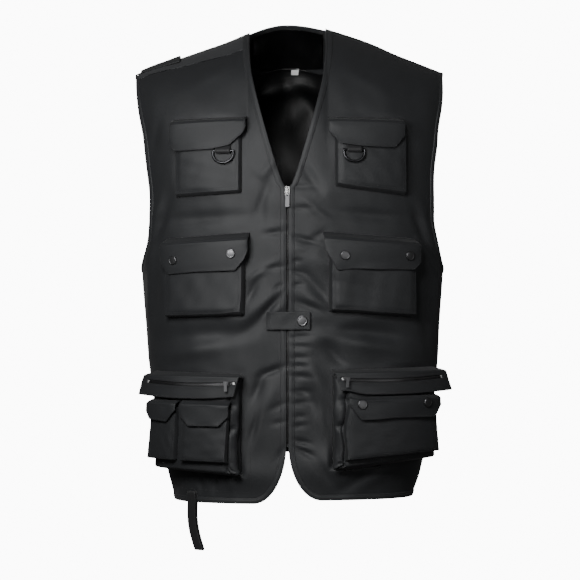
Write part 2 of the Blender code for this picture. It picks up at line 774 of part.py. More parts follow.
def block(size, centre):
    """A box as a mesh, for joining."""
    mesh = bpy.data.meshes.new("block")
    box = bmesh.new()
    bmesh.ops.create_cube(box, size=1, matrix=Matrix.Translation(centre) @ Matrix.Diagonal((*size, 1)))
    box.to_mesh(mesh)
    box.free()
    return mesh


def joined(name, meshes, placing, finish):
    """Several overlapping meshes joined into one solid."""
    item = add_object(name, meshes[0], finish)
    item.matrix_world = placing
    tools = bpy.data.collections["cutters"]
    for i, mesh in enumerate(meshes[1:]):
        tool = bpy.data.objects.new("%s_join_%d" % (name, i), mesh)
        tool.matrix_world = placing
        tool.hide_render = True
        tool.display_type = "WIRE"
        tools.objects.link(tool)
        union = item.modifiers.new("join", "BOOLEAN")
        union.operation = "UNION"
        union.object = tool
    return item


def main_slider():
    """The main zip's slider, with a bridge along the zip, and the pull that hangs from it."""
    front = BAND_PROUD + SEWN_GAP
    z = -OPENING_DROP - SLIDER_LENGTH / 2
    placing = seat(centre_place, 0, z, 0)
    plate_y = -front - SLIDER_PLATE / 2
    bar_radius = PULL_THICKNESS / 2
    room = 2 * (bar_radius + PULL_CLEARANCE)
    bridge_y = -front - SLIDER_PLATE - room - BRIDGE_THICKNESS / 2
    post = room + SLIDER_PLATE / 2 + BRIDGE_THICKNESS / 2
    post_y = (plate_y + bridge_y) / 2
    post_z = SLIDER_LENGTH / 2 - BRIDGE_THICKNESS
    neck = front + BAND_THICKNESS - BAND_PROUD
    meshes = [
        block((SLIDER_WIDTH, SLIDER_PLATE, SLIDER_LENGTH), (0, plate_y, 0)),
        block((FRONT_GAP * 0.55, neck + SLIDER_PLATE / 2, SLIDER_LENGTH * 0.5),
              (0, neck / 2 - front - SLIDER_PLATE / 4, 0)),
        block((BRIDGE_WIDTH, BRIDGE_THICKNESS, SLIDER_LENGTH * 0.8), (0, bridge_y, 0)),
        block((BRIDGE_WIDTH * 0.9, post, BRIDGE_THICKNESS), (0, post_y, post_z * 0.75)),
        block((BRIDGE_WIDTH * 0.9, post, BRIDGE_THICKNESS), (0, post_y, -post_z * 0.75)),
    ]
    joined("zip_slider", meshes, placing, "nickel")
    pivot_z = -post_z * 0.75 + BRIDGE_THICKNESS / 2 + PULL_CLEARANCE + bar_radius
    pivot = placing @ Vector((0, -front - SLIDER_PLATE - room / 2, pivot_z))
    hang_pull("zip_pull", pivot, placing, BRIDGE_WIDTH + 2 * PULL_CLEARANCE, "gunmetal")


def hang_pull(name, pivot, placing, gap_width, finish):
    """A zip pull that hangs straight down from a pin at its pivot: a pin, two arms and a tongue."""
    level = placing.to_3x3() @ Vector((1, 0, 0))
    level.z = 0
    level.normalize()
    turn = Matrix((level, Vector((0, 0, 1)).cross(level), Vector((0, 0, 1)))).transposed().to_4x4()
    turn.translation = pivot
    arm = (PULL_WIDTH - gap_width) / 2
    reach = PULL_THICKNESS * 4
    meshes = [
        block((PULL_WIDTH, PULL_THICKNESS, PULL_LENGTH - reach), (0, 0, -reach - (PULL_LENGTH - reach) / 2)),
        block((arm, PULL_THICKNESS * 0.98, reach + PULL_THICKNESS),
              ((gap_width + arm) / 2, 0, -reach / 2)),
        block((arm, PULL_THICKNESS * 0.98, reach + PULL_THICKNESS),
              (-(gap_width + arm) / 2, 0, -reach / 2)),
        block((gap_width + arm, PULL_THICKNESS * 0.9, PULL_THICKNESS * 0.9), (0, 0, 0)),
    ]
    return joined(name, meshes, turn, finish)


def patch_place(patch):
    """The surface under a pocket or flap, as a function of the ways across and up it."""

    def place(u, v):
        x = HALF_WIDTH * lerp(patch.left, patch.right, u)
        bottom = lerp(patch.bottom_left, patch.bottom_right, u)
        z = -BODY_LENGTH * lerp(bottom, lerp(patch.top_left, patch.top_right, u), v)
        return body_point(turn_at(x, z), z)

    return place


def wall_steps(count, wall):
    """Shares across a pocket with a wall at each end: the rim, the wall's top, and the face between."""
    face = [lerp(wall * 2.2, 1 - wall * 2.2, k / (count - 4)) for k in range(count - 3)]
    return [0, wall * 0.6] + face + [1 - wall * 0.6, 1]


def face_height(depth, up):
    """How far out a pocket's face is at a share of its height: less at the mouth."""
    return depth * lerp(1, MOUTH_FULLNESS, up)


def bag(name, place, columns, rows, depth, base, wall_across, wall_up):
    """A pocket with an open mouth: a sewn rim, side and bottom walls, and a face full at the bottom."""
    across = wall_steps(columns, wall_across)
    up = wall_steps(rows, wall_up)[:rows - 2] + [1]
    lifts_across = [0, 0.82] + [1] * (columns - 3) + [0.82, 0]
    lifts_up = [0, 0.80] + [1] * (rows - 3)

    def spot(u, v):
        i, j = round(u * columns), round(v * (len(up) - 1))
        lift = lifts_across[i] * lifts_up[j]
        return raised(place, across[i], up[j], base + lift * face_height(depth, up[j]))

    return sheet(name, columns, len(up) - 1, spot, BAG_CLOTH, "twill")


def lid_place(patch, height):
    """The surface under a flap whose height is in metres, with its top along the patch's top line."""

    def place(u, v):
        x = HALF_WIDTH * lerp(patch.left, patch.right, u)
        z = -BODY_LENGTH * lerp(patch.top_left, patch.top_right, u) - height * (1 - v)
        return body_point(turn_at(x, z), z)

    return place


def lid(name, place, columns, edge, root, full):
    """A flap: sewn along its top, then out over its pocket and down to its own lower edge."""
    downs = [0, 0.09, 0.20, 0.6, 1]
    lifts = [0, 0.72, 1, 1, 1]

    def spot(u, v):
        j = round((1 - v) * 4)
        low = read(edge, "down", u, curved=False)
        down = min(downs[j], low) if j < 3 else lerp(downs[2], low, (j - 2) / 2)
        return raised(place, u, 1 - down, lerp(root, full, lifts[j]))

    return sheet(name, columns, 4, spot, FLAP_CLOTH, "twill")


def snap(name, placing, radius):
    """A snap's cap: a turned disc with a raised rim and a low middle."""
    profile = [(0, 0.80), (0.55, 0.84), (0.80, 1.0), (1.0, 0.55), (1.0, 0), (0, 0)]
    mesh = bpy.data.meshes.new(name)
    points = [(radius * out, 0, SNAP_HEIGHT * up) for out, up in profile]
    mesh.from_pydata(points, [(i, i + 1) for i in range(len(points) - 1)], [])
    item = add_object(name, mesh, "gunmetal")
    item.matrix_world = placing @ Matrix.Rotation(pi / 2, 4, "X")
    turned = item.modifiers.new("turned", "SCREW")
    turned.steps = turned.render_steps = 10
    turned.use_merge_vertices = True
    turned.merge_threshold = 0.00001
    return item


def chest_pockets():
    """The two chest pockets with their flaps, and a D-ring hung below each flap in a webbing loop."""
    for side in ("left", "right"):
        patch = CHEST_BAGS[side]
        low = patch._replace(top_left=patch.top_left + MOUTH_DROP / BODY_LENGTH,
                             top_right=patch.top_right + MOUTH_DROP / BODY_LENGTH)
        bag("chest_pocket_" + side, patch_place(low), 9, 8, CHEST_DEPTH, SEWN_GAP, 0.03, 0.04)
        place = lid_place(CHEST_LIDS[side], CHEST_FLAP_HEIGHT)
        inside = SEWN_GAP + CHEST_DEPTH + CHEST_FLAP_CLEARANCE
        lid("chest_flap_" + side, place, 10, LID_EDGES["chest_" + side], ROOT_GAP, inside + FLAP_CLOTH)
        d_ring(side)


def d_ring(side):
    """A D-ring on its straight bar, in a webbing loop whose tail goes up under the flap."""
    across = RING_PLACE[side]
    place = lid_place(CHEST_LIDS[side], CHEST_FLAP_HEIGHT)
    low = read(LID_EDGES["chest_" + side], "down", across, curved=False)
    wire = RING_WIRE / 2
    outer = wire + RING_CLEARANCE + WEBBING
    level = 1 - low - RING_BELOW_FLAP / CHEST_FLAP_HEIGHT
    face = SEWN_GAP + face_height(CHEST_DEPTH, RING_LEVEL)
    placing = seat(place, across, level, face + GAP * 2 + outer)
    ring(side, placing @ Matrix.Rotation(radians(-RING_LEAN), 4, "X"), wire)
    webbing_loop(side, placing, wire, outer)


def ring(side, placing, wire):
    """The ring itself: a straight bar with a round bow below it."""
    half = RING_WIDTH / 2 - wire
    deep = RING_HEIGHT - 2 * wire
    points = [(half * cos(k / 12 * pi), -deep * sin(k / 12 * pi) ** 0.72) for k in range(13)]
    points = points[::-1]
    data = bpy.data.curves.new("d_ring_" + side, "CURVE")
    data.dimensions = "3D"
    data.bevel_depth = wire
    data.bevel_resolution = 1
    line = data.splines.new("POLY")
    line.points.add(len(points) - 1)
    for spot, (x, z) in zip(line.points, points):
        spot.co = (x, 0, z, 1)
    line.use_cyclic_u = True
    item = add_object("d_ring_" + side, data, "gunmetal")
    item.matrix_world = placing
    return item


def webbing_loop(side, placing, wire, outer):
    """The webbing that carries a ring: up behind its bar, round under it and up again in front."""
    front_tail = -outer + 2 * WEBBING + GAP
    start = outer * 1.3
    path = [(outer, start + WEBBING_TAIL), (outer, start + 0.0015), (outer, 0)]
    path += [(outer * cos(a), -outer * sin(a)) for a in (radians(30 * k) for k in range(1, 6))]
    path += [(-outer, 0), (-outer * 0.72, outer * 0.75)]
    path += [(-front_tail, start), (-front_tail, start + WEBBING_TAIL)]

    def spot(u, v):
        depth, up = path[round((1 - v) * (len(path) - 1))]
        return placing @ Vector((lerp(WEBBING_WIDTH, -WEBBING_WIDTH, u) / 2, depth, up))

    return sheet("ring_loop_" + side, 1, len(path) - 1, spot, WEBBING, "webbing")


def waist_pockets():
    """The two pockets at the waist, with their flaps and snaps."""
    for side in ("left", "right"):
        patch = WAIST_BAGS[side]
        low = patch._replace(top_left=patch.top_left + MOUTH_DROP / BODY_LENGTH,
                             top_right=patch.top_right + MOUTH_DROP / BODY_LENGTH)
        bag("waist_pocket_" + side, patch_place(low), 10, 8, WAIST_DEPTH, SEWN_GAP, 0.03, 0.04)
        place = lid_place(WAIST_LIDS[side], WAIST_FLAP_HEIGHT)
        inside = SEWN_GAP + WAIST_DEPTH + FLAP_CLEARANCE
        lid("waist_flap_" + side, place, 10, LID_EDGES["waist_" + side], ROOT_GAP, inside + FLAP_CLOTH)
        own = [mark for mark in WAIST_SNAPS if mark.lid == side]
        for mark, end in zip(own, ("a", "b")):
            placing = seat(place, mark.across, 1 - mark.down, inside + FLAP_CLOTH + SNAP_SEAT)
            snap("waist_snap_%s_%s" % (side, end), placing, SNAP_RADIUS)


def waist_tab():
    """The tab across the zip at the waist, with its snap."""
    left = -WAIST_TAB_WIDTH / 2 + WAIST_TAB_OFFSET
    top = -WAIST_TAB_DROP
    height = BAND_PROUD + LAID_GAP + FLAP_CLOTH
    bottom = top - WAIST_TAB_HEIGHT
    strip("waist_tab", left, left + WAIST_TAB_WIDTH, bottom, top, 2, height, FLAP_CLOTH, "twill", 8)
    placing = seat(centre_place, left + WAIST_TAB_WIDTH - TAB_SNAP_INSET, top - WAIST_TAB_HEIGHT * 0.5,
                   height + SNAP_SEAT)
    snap("waist_tab_snap", placing, TAB_SNAP_RADIUS)


def cargo_pockets():
    """The two cargo pockets: a deep bag, a hood with a zip over its mouth, and small pockets on its face."""
    for side in ("left", "right"):
        patch = CARGO_BAGS[side]
        low = patch._replace(top_left=patch.top_left + MOUTH_DROP / BODY_LENGTH,
                             top_right=patch.top_right + MOUTH_DROP / BODY_LENGTH)
        bag("cargo_pocket_" + side, patch_place(low), 12, 8, CARGO_DEPTH, SEWN_GAP, 0.035, 0.04)
        hood(side, patch)
    small_pockets()


def hood_reach():
    """How far out the hood's outer face is."""
    return SEWN_GAP + CARGO_DEPTH + FLAP_CLEARANCE + FLAP_CLOTH


def hood_place(side, patch):
    """The surface under a hood, whose height is in metres."""
    over = HOOD_OVERHANG / HALF_WIDTH
    inner = 0.25
    grow_left, grow_right = (over, over * inner) if side == "left" else (over * inner, over)
    wide = patch._replace(left=patch.left - grow_left, right=patch.right + grow_right)
    return lid_place(wide, HOOD_HEIGHT)


def hood(side, patch):
    """The hood over a cargo pocket: out from the body, then down before its mouth, with its zip."""
    place = hood_place(side, patch)
    downs = [0, 0.03, 0.10, 0.55, 1]
    lifts = [0, 0.55, 1, 1, 1]
    full = hood_reach()

    def spot(u, v):
        j = round((1 - v) * 4)
        return raised(place, u, 1 - downs[j], lerp(HOOD_ROOT_GAP, full, lifts[j]))

    sheet("cargo_hood_" + side, 10, 4, spot, FLAP_CLOTH, "twill")

    def zip_spot(u, v):
        share = lerp(*HOOD_ZIP_ENDS[side], u)
        sag = HOOD_ZIP_SAG * (1 - (2 * u - 1) ** 2) / HOOD_HEIGHT
        up = HOOD_ZIP_LEVEL - sag + (v - 0.5) * HOOD_ZIP_HEIGHT / HOOD_HEIGHT
        return raised(place, share, up, full + GAP * 2 + HOOD_ZIP_THICKNESS)

    sheet("hood_zip_" + side, 12, 1, zip_spot, HOOD_ZIP_THICKNESS, "zip")
    high = full + HOOD_ZIP_THICKNESS + GAP * 4
    hood_slider(side, seat(place, HOOD_SLIDER_PLACE[side], HOOD_ZIP_LEVEL, high))


def hood_slider(side, placing):
    """A small slider with a level pin between two ears, and the pull that hangs from the pin."""
    width, tall = SLIDER_LENGTH * 0.8, SLIDER_WIDTH * 0.8
    ear = BRIDGE_THICKNESS
    sleeve = PULL_WIDTH * 0.75
    gap = sleeve + 2 * PULL_CLEARANCE
    pin = PULL_THICKNESS * 0.55
    hole = pin * sqrt(2) + PULL_CLEARANCE
    wall = PULL_THICKNESS * 0.4
    swing = (hole / 2 + wall) * sqrt(2)
    pin_y = -(SLIDER_PLATE + swing + PULL_CLEARANCE)
    deep = pin - pin_y - SLIDER_PLATE / 2
    ear_y = -SLIDER_PLATE / 2 - deep / 2
    meshes = [
        block((max(width, gap + 2 * ear), SLIDER_PLATE, tall), (0, -SLIDER_PLATE / 2, 0)),
        block((ear, deep, tall * 0.5), ((gap + ear) / 2, ear_y, 0)),
        block((ear, deep, tall * 0.5), (-(gap + ear) / 2, ear_y, 0)),
        block((gap + ear, pin, pin), (0, pin_y, 0)),
    ]
    joined("hood_slider_" + side, meshes, placing, "nickel")
    hood_pull(side, placing @ Vector((0, pin_y, 0)), placing, sleeve, hole, wall)


def hood_pull(side, pivot, placing, sleeve, hole, wall):
    """The pull of a hood's zip: a square sleeve round the pin with a tongue below."""
    level = placing.to_3x3() @ Vector((1, 0, 0))
    turn = Matrix((level, Vector((0, 0, 1)).cross(level), Vector((0, 0, 1)))).transposed().to_4x4()
    turn.translation = pivot
    size = hole + 2 * wall
    reach = size / 2
    long = PULL_LENGTH * 0.5
    meshes = [
        block((sleeve, PULL_THICKNESS * 0.8, long), (0, 0, -reach - long / 2 + wall / 2)),
        block((sleeve * 0.999, wall, size), (0, (hole + wall) / 2, 0)),
        block((sleeve * 0.999, wall, size), (0, -(hole + wall) / 2, 0)),
        block((sleeve * 0.998, size * 0.999, wall), (0, 0, (hole + wall) / 2)),
        block((sleeve * 0.998, size * 0.999, wall), (0, 0, -(hole + wall) / 2)),
    ]
    return joined("hood_pull_" + side, meshes, turn, "gunmetal")


def small_pockets():
    """The small pockets on the faces of the cargo pockets, with their flaps and snaps."""
    for mark in SMALL_BAGS:
        patch = CARGO_BAGS[mark.side]
        drop = MOUTH_DROP / BODY_LENGTH
        low = patch._replace(top_left=patch.top_left + drop, top_right=patch.top_right + drop)
        high = BODY_LENGTH * (low.bottom_left - low.top_left)
        under = patch_place(low)

        def face(u, up, under=under):
            return raised(under, u, up, SEWN_GAP + face_height(CARGO_DEPTH, up))

        def place(u, v, mark=mark, face=face):
            bottom = lerp(mark.bottom_left, mark.bottom_right, u)
            return face(lerp(mark.left, mark.right, u), lerp(bottom, mark.top, v))

        def lid_spot(u, v, mark=mark, face=face, high=high):
            up = mark.lid_top - (1 - v) * SMALL_FLAP_HEIGHT / high
            return face(lerp(mark.left - SMALL_FLAP_OVER, mark.right + SMALL_FLAP_OVER, u), up)

        bag("small_pocket_" + mark.name, place, mark.columns, 7, SMALL_DEPTH, SEWN_GAP, 0.04, 0.05)
        full = SEWN_GAP + SMALL_DEPTH + FLAP_CLEARANCE + FLAP_CLOTH
        lid("small_flap_" + mark.name, lid_spot, 8, LID_EDGES["small_" + mark.name], SMALL_ROOT_GAP, full)
        own = [spot for spot in SMALL_SNAPS if spot.lid == mark.name]
        for spot, end in zip(own, ("a", "b")):
            placing = seat(lid_spot, spot.across, 1 - spot.down, full + SNAP_SEAT)
            snap("small_snap_" + end, placing, SMALL_SNAP_RADIUS)


def hem_loop():
    """The doubled webbing strap that hangs from the hem on the viewer's left."""
    top = -BODY_LENGTH + HEM_LOOP_SEWN
    raise_by = BAND_PROUD + LAID_GAP + HEM_LOOP_FOLD / 2 + WEBBING
    placing = seat(centre_place, -HEM_LOOP_PLACE * HALF_WIDTH, top, raise_by)
    leg = HEM_LOOP_FOLD / 2 + WEBBING
    long = HEM_LOOP_LENGTH + HEM_LOOP_SEWN
    path = [(leg, -long * k / 6) for k in range(6)]
    path += [(leg * cos(a), -long + leg - leg * sin(a)) for a in (radians(36 * k) for k in range(6))]
    path += [(-leg, -long * k / 6) for k in range(5, -1, -1)]

    def spot(u, v):
        depth, up = path[round((1 - v) * (len(path) - 1))]
        swing = sin(min(max(-up - HEM_LOOP_SEWN, 0) / HEM_LOOP_LENGTH, 1) * pi)
        slant = -HEM_LOOP_SLANT * swing
        return placing @ Vector((lerp(HEM_LOOP_WIDTH, -HEM_LOOP_WIDTH, u) / 2 + slant, depth, up))

    return sheet("hem_loop", 1, len(path) - 1, spot, WEBBING, "webbing")


def clear_scene():
    """Start from an empty scene with a collection for the vest and one for cutters."""
    for item in list(bpy.data.objects):
        bpy.data.objects.remove(item, do_unlink=True)
    for name in ("utility_work_vest", "cutters"):
        made = bpy.data.collections.new(name)
        bpy.context.scene.collection.children.link(made)


def main():
    clear_scene()
    front_panel("left")
    front_panel("right")
    back_panel()
    yoke()
    shoulder_tab()
    bindings()
    inner_back()
    main_zip()
    main_slider()
    waist_tab()
    chest_pockets()
    waist_pockets()
    cargo_pockets()
    hem_loop()


main()
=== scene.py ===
from collections import namedtuple
from math import radians

import bpy
import numpy as np
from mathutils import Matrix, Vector


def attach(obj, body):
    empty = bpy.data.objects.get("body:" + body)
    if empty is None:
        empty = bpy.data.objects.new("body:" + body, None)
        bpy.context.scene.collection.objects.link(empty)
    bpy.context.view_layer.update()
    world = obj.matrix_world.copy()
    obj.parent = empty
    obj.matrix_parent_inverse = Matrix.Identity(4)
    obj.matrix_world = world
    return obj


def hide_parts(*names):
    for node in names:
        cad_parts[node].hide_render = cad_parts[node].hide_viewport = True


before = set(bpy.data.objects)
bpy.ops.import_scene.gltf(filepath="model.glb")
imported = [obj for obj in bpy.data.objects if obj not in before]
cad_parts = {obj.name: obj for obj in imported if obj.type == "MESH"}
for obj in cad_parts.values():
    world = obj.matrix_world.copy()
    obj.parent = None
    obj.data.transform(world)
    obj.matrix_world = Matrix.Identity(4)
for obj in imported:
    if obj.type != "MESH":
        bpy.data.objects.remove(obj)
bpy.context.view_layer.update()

# Body, as in the part's source
BODY_LENGTH = 0.665
BODY_WIDTH = 0.433
FRONT_DEPTH = 0.135
BACK_DEPTH = 0.122
SQUARENESS = 2.3
SIDE_ARC = 0.95
FOLD_ARC = 1.35
RISE_BEND = 2.2
RISE_POWER = 0.6
NECK_WIDTH = 0.112
SHOULDER_WIDTH = 0.441
SHOULDER_DROP = 0.060
FRONT_REACH = 0.200
BACK_REACH = 0.160
TIP_REACH = 0.45
NECK_STAND = 0.043
BACK_NECK_RISE = 0.016
BACK_HEM_RISE = 0.055
ARMHOLE_DROP = 0.337
OPENING_DROP = 0.228
CORNER_WIDTH = 0.047
CORNER_HEIGHT = 0.080
LEFT_HEM_SAG = 0.0050

# Cloth and trim
CLOTH = 0.0016
BAG_CLOTH = 0.0012
FLAP_CLOTH = 0.0024
LINING_CLOTH = 0.0008
BAND_WIDTH = 0.0090
BAND_THICKNESS = 0.0030
BAND_PROUD = 0.0007
BAND_OVERLAP = 0.0028
YOKE_DROP_NECK = 0.026
YOKE_DROP_TIP = 0.009
SEAM_OVERLAP = 0.0030
SEAM_LAP = 0.012
LAP_RISE = 0.0006
SHOULDER_SEAM = 0.0090
SEAM_RISE = 0.0008
FACING_DEPTH = 0.043
FACING_HANG = 0.0040
LINING_HANG = 0.0058
LABEL_OFFSET = 0.012
LABEL_WIDTH = 0.012
LABEL_HEIGHT = 0.007
LABEL_TUCK = 0.0015
SEWN_GAP = 0.0010
ROOT_GAP = 0.0022
FLAP_ROUND = 0.0010
FRONT_EDGE = 0.03
BACK_EVENNESS = 0.65
POCKET_MARGIN = (-0.01, 0.035)
SEAM_CALM = 0.35
SEAM_CALM_REACH = 0.12
BAND_ROUND = 0.0012
BAND_STEP = 0.0022
BAND_CROWN = 0.0005
BAND_GROOVE = 0.0004
BAND_GROOVE_PLACE = 0.27
BAND_GROOVE_WIDTH = 0.05
BAND_STITCH = 0.22
SEAM_BEND = 0.93
SEAM_END = 0.94
YOKE_RISE = 0.0008
YOKE_STITCH = 0.07
LINING_ACROSS = (0.02, 0.98)
LINING_DOWN = (0.96, 0.085)
LINING_START = 0.06
LABEL_GAP = 0.0009
LABEL_CURL = 0.0070

# Stitches
STITCH_PITCH = 0.0030
STITCH_LENGTH = 0.0021
STITCH_WIDTH = 0.00050
STITCH_HEIGHT = 0.00028
STITCH_INSET = 0.0022
STITCH_SINK = 0.1

# Shoulder tab
TAB_LENGTH = 0.057
TAB_DROP_NECK = 0.010
TAB_DROP_TIP = 0.004
TAB_INSET = 0.011
TAB_RISE = 0.0012
TAB_LIFT = 0.0016
TAB_STITCH = 0.10

# Main zip
FRONT_GAP = 0.0022
CHAIN_DEPTH = 0.0022
TOOTH_PITCH = 0.0021
TOOTH_LENGTH = 0.0030
TOOTH_HEIGHT = 0.0011
TOOTH_THICKNESS = 0.0016
TAPE_WIDTH = 0.0125
TAPE_DEPTH = 0.0034
TOOTH_STAGGER = 0.22

# Waist tab and snaps
WAIST_TAB_WIDTH = 0.061
WAIST_TAB_HEIGHT = 0.0255
WAIST_TAB_DROP = 0.400
WAIST_TAB_OFFSET = 0.0015
TAB_SNAP_INSET = 0.0115
TAB_SQUARE = 0.0225
TAB_SNAP_RADIUS = 0.0074
SNAP_RADIUS = 0.0064
SMALL_SNAP_RADIUS = 0.0068
SNAP_HEIGHT = 0.0026
SNAP_SEAT = 0.0004
SNAP_SIDES = 48

# Pockets
CHEST_DEPTH = 0.0090
WAIST_DEPTH = 0.0140
CARGO_DEPTH = 0.0270
SMALL_DEPTH = 0.0100
MOUTH_DROP = 0.009
MOUTH_FULLNESS = 0.86
FLAP_CLEARANCE = 0.0030
CHEST_FLAP_CLEARANCE = 0.0042
CHEST_FLAP_HEIGHT = 0.046
WAIST_FLAP_HEIGHT = 0.051
SMALL_FLAP_HEIGHT = 0.033
SMALL_FLAP_OVER = 0.008
FLAP_BAND = 0.0085
ROUND_BODY = 1.05
WALL_POWER = 0.8
FOOT_WIDER = 1.2
FACE_START = 3.0
MOUTH_SINK = 0.25
MOUTH_START = 0.86
CREST_RISE = 0.0005
CREST_PLACE = 0.97
PLEAT_WAVER = 0.5
PLEAT_FOOT = 1.2
LID_CORNER = 0.012
LID_DROOP = 0.10
LID_DROOP_REACH = 0.004
LID_SEAM_DEPTH = 0.0015
LID_SEAM_WIDTH = 0.0010
GROOVE_DEPTH = 0.0042
GROOVE_PLACE = 0.0050
GROOVE_WIDTH = 0.0014
PINCH_DEPTH = 0.0050
PINCH_SPREAD = 0.035
CRUMPLE_REACH = 0.16
GUSSET_REACH = 0.0060
GUSSET_PINCHES = (0.50, 0.74)
HOOD_HEIGHT = 0.031
HOOD_OVERHANG = 0.007
HOOD_SKEW = 0.0080
HOOD_ZIP_LEVEL = 0.60
HOOD_ZIP_SAG = 0.0030
HOOD_ZIP_HEIGHT = 0.0050
HOOD_ROUND_BODY = 1.15
HOOD_SMILE = 0.13
HOOD_TURN = (-0.0020, 0.0042)
HOOD_ROOT = 0.0012
HOOD_LIP = 0.0006
HOOD_LIP_SPREAD = 0.0042
HOOD_SLIT = 0.0026
HOOD_TAPE_SINK = 0.0011
HOOD_TOOTH_RISE = 0.0005
HOOD_TOOTH_PITCH = 0.0017
HOOD_TOOTH_LENGTH = 0.0022
HOOD_STOPS = (0.012, 0.988)
HOOD_STOP_SIZE = (0.0028, 0.0014, 0.0034)
HOOD_ZIP_ENDS = {"left": (0.06, 0.97), "right": (0.05, 0.95)}

# D-rings and webbing
RING_WIDTH = 0.033
RING_HEIGHT = 0.0205
RING_WIRE = 0.0036
RING_LEAN = 6.0
RING_BELOW_FLAP = 0.0052
RING_LEVEL = 0.64
RING_SLACK = 0.0003
RING_BOW = 0.72
WIRE_SIDES = 16
RING_PLACE = {"left": 0.70, "right": 0.33}
WEBBING = 0.0010
WEBBING_WIDTH = 0.021
WEBBING_TAIL = 0.009

# Hem loop
HEM_LOOP_WIDTH = 0.0165
HEM_LOOP_LENGTH = 0.073
HEM_LOOP_SEWN = 0.012
HEM_LOOP_FOLD = 0.0002
HEM_LOOP_CLOTH = 0.0014
HEM_LOOP_PLACE = 0.615
HEM_LOOP_SLANT = 0.0060

HALF_WIDTH = BODY_WIDTH / 2
NECK_HALF = NECK_WIDTH / 2
SHOULDER_HALF = SHOULDER_WIDTH / 2
CORNER_TOP = -BODY_LENGTH + CORNER_HEIGHT
SIDES = ("left", "right")
SIGN = {"left": -1, "right": 1}

# Drop is a share of BODY_LENGTH, width and shift are shares of HALF_WIDTH, front and back of their depths.
Section = namedtuple("Section", "drop width front back shift")
SECTIONS = (
    Section(-0.10, 1.080, 0.92, 0.95, 0.005),
    Section(0.00, 1.075, 0.93, 0.97, 0.007),
    Section(0.15, 1.060, 0.95, 1.00, 0.013),
    Section(0.30, 1.020, 1.00, 1.03, 0.022),
    Section(0.41, 1.003, 1.00, 1.00, 0.030),
    Section(0.507, 1.000, 0.99, 0.97, 0.034),
    Section(0.63, 0.972, 0.96, 0.93, 0.036),
    Section(0.71, 0.956, 0.94, 0.92, 0.038),
    Section(0.83, 0.910, 0.92, 0.92, 0.042),
    Section(0.945, 0.838, 0.89, 0.90, 0.044),
    Section(1.00, 0.790, 0.86, 0.87, 0.038),
    Section(1.05, 0.760, 0.85, 0.86, 0.036),
)

# Out is the way from neck point to shoulder tip. Left and right are shares of SHOULDER_DROP.
Slope = namedtuple("Slope", "out left right")
SHOULDER_LINE = (
    Slope(0.0, 0.02, -0.08),
    Slope(0.2, 0.25, 0.09),
    Slope(0.4, 0.44, 0.285),
    Slope(0.6, 0.63, 0.53),
    Slope(0.8, 0.80, 0.745),
    Slope(1.0, 1.03, 0.96),
)

# Down is the way from shoulder tip to armhole bottom. Front and back are the turns of its two edges.
Armhole = namedtuple("Armhole", "down front back")
ARMHOLE_EDGE = (
    Armhole(0.00, 0.790, 1.200),
    Armhole(0.14, 0.775, 1.210),
    Armhole(0.325, 0.742, 1.230),
    Armhole(0.50, 0.730, 1.240),
    Armhole(0.65, 0.728, 1.240),
    Armhole(0.77, 0.742, 1.225),
    Armhole(0.87, 0.778, 1.185),
    Armhole(0.94, 0.835, 1.130),
    Armhole(0.985, 0.915, 1.065),
    Armhole(1.00, 1.000, 1.000),
)

# Drop is a share of OPENING_DROP, width a share of half the neck.
Neck = namedtuple("Neck", "drop width")
NECK_EDGE = (
    Neck(-0.10, 0.99),
    Neck(0.00, 0.985),
    Neck(0.16, 0.965),
    Neck(0.30, 0.890),
    Neck(0.47, 0.725),
    Neck(0.66, 0.510),
    Neck(0.86, 0.270),
    Neck(0.97, 0.110),
    Neck(1.00, 0.020),
)

# Broad folds, as in the part's source: a turn, a share of BODY_LENGTH, half length and half width, slant in
# degrees from level, and height. Lengths are shares of HALF_WIDTH.
Fold = namedtuple("Fold", "turn drop length width slant height")
FOLDS = (
    Fold(-0.13, 0.600, 0.20, 0.060, 38, 0.016),
    Fold(0.12, 0.500, 0.16, 0.060, -24, 0.014),
    Fold(0.13, 0.645, 0.18, 0.060, 30, 0.014),
    Fold(0.16, 0.800, 0.20, 0.065, -58, 0.014),
    Fold(-0.16, 0.860, 0.22, 0.070, 70, 0.012),
    Fold(0.12, 0.350, 0.18, 0.065, 25, 0.012),
    Fold(-0.78, 0.560, 0.30, 0.080, 75, 0.014),
    Fold(0.80, 0.560, 0.30, 0.080, -78, 0.014),
    Fold(1.45, 0.750, 0.70, 0.160, 84, 0.030),
    Fold(-1.45, 0.720, 0.70, 0.160, -86, 0.030),
    Fold(2.00, 0.800, 0.60, 0.150, 90, 0.026),
)

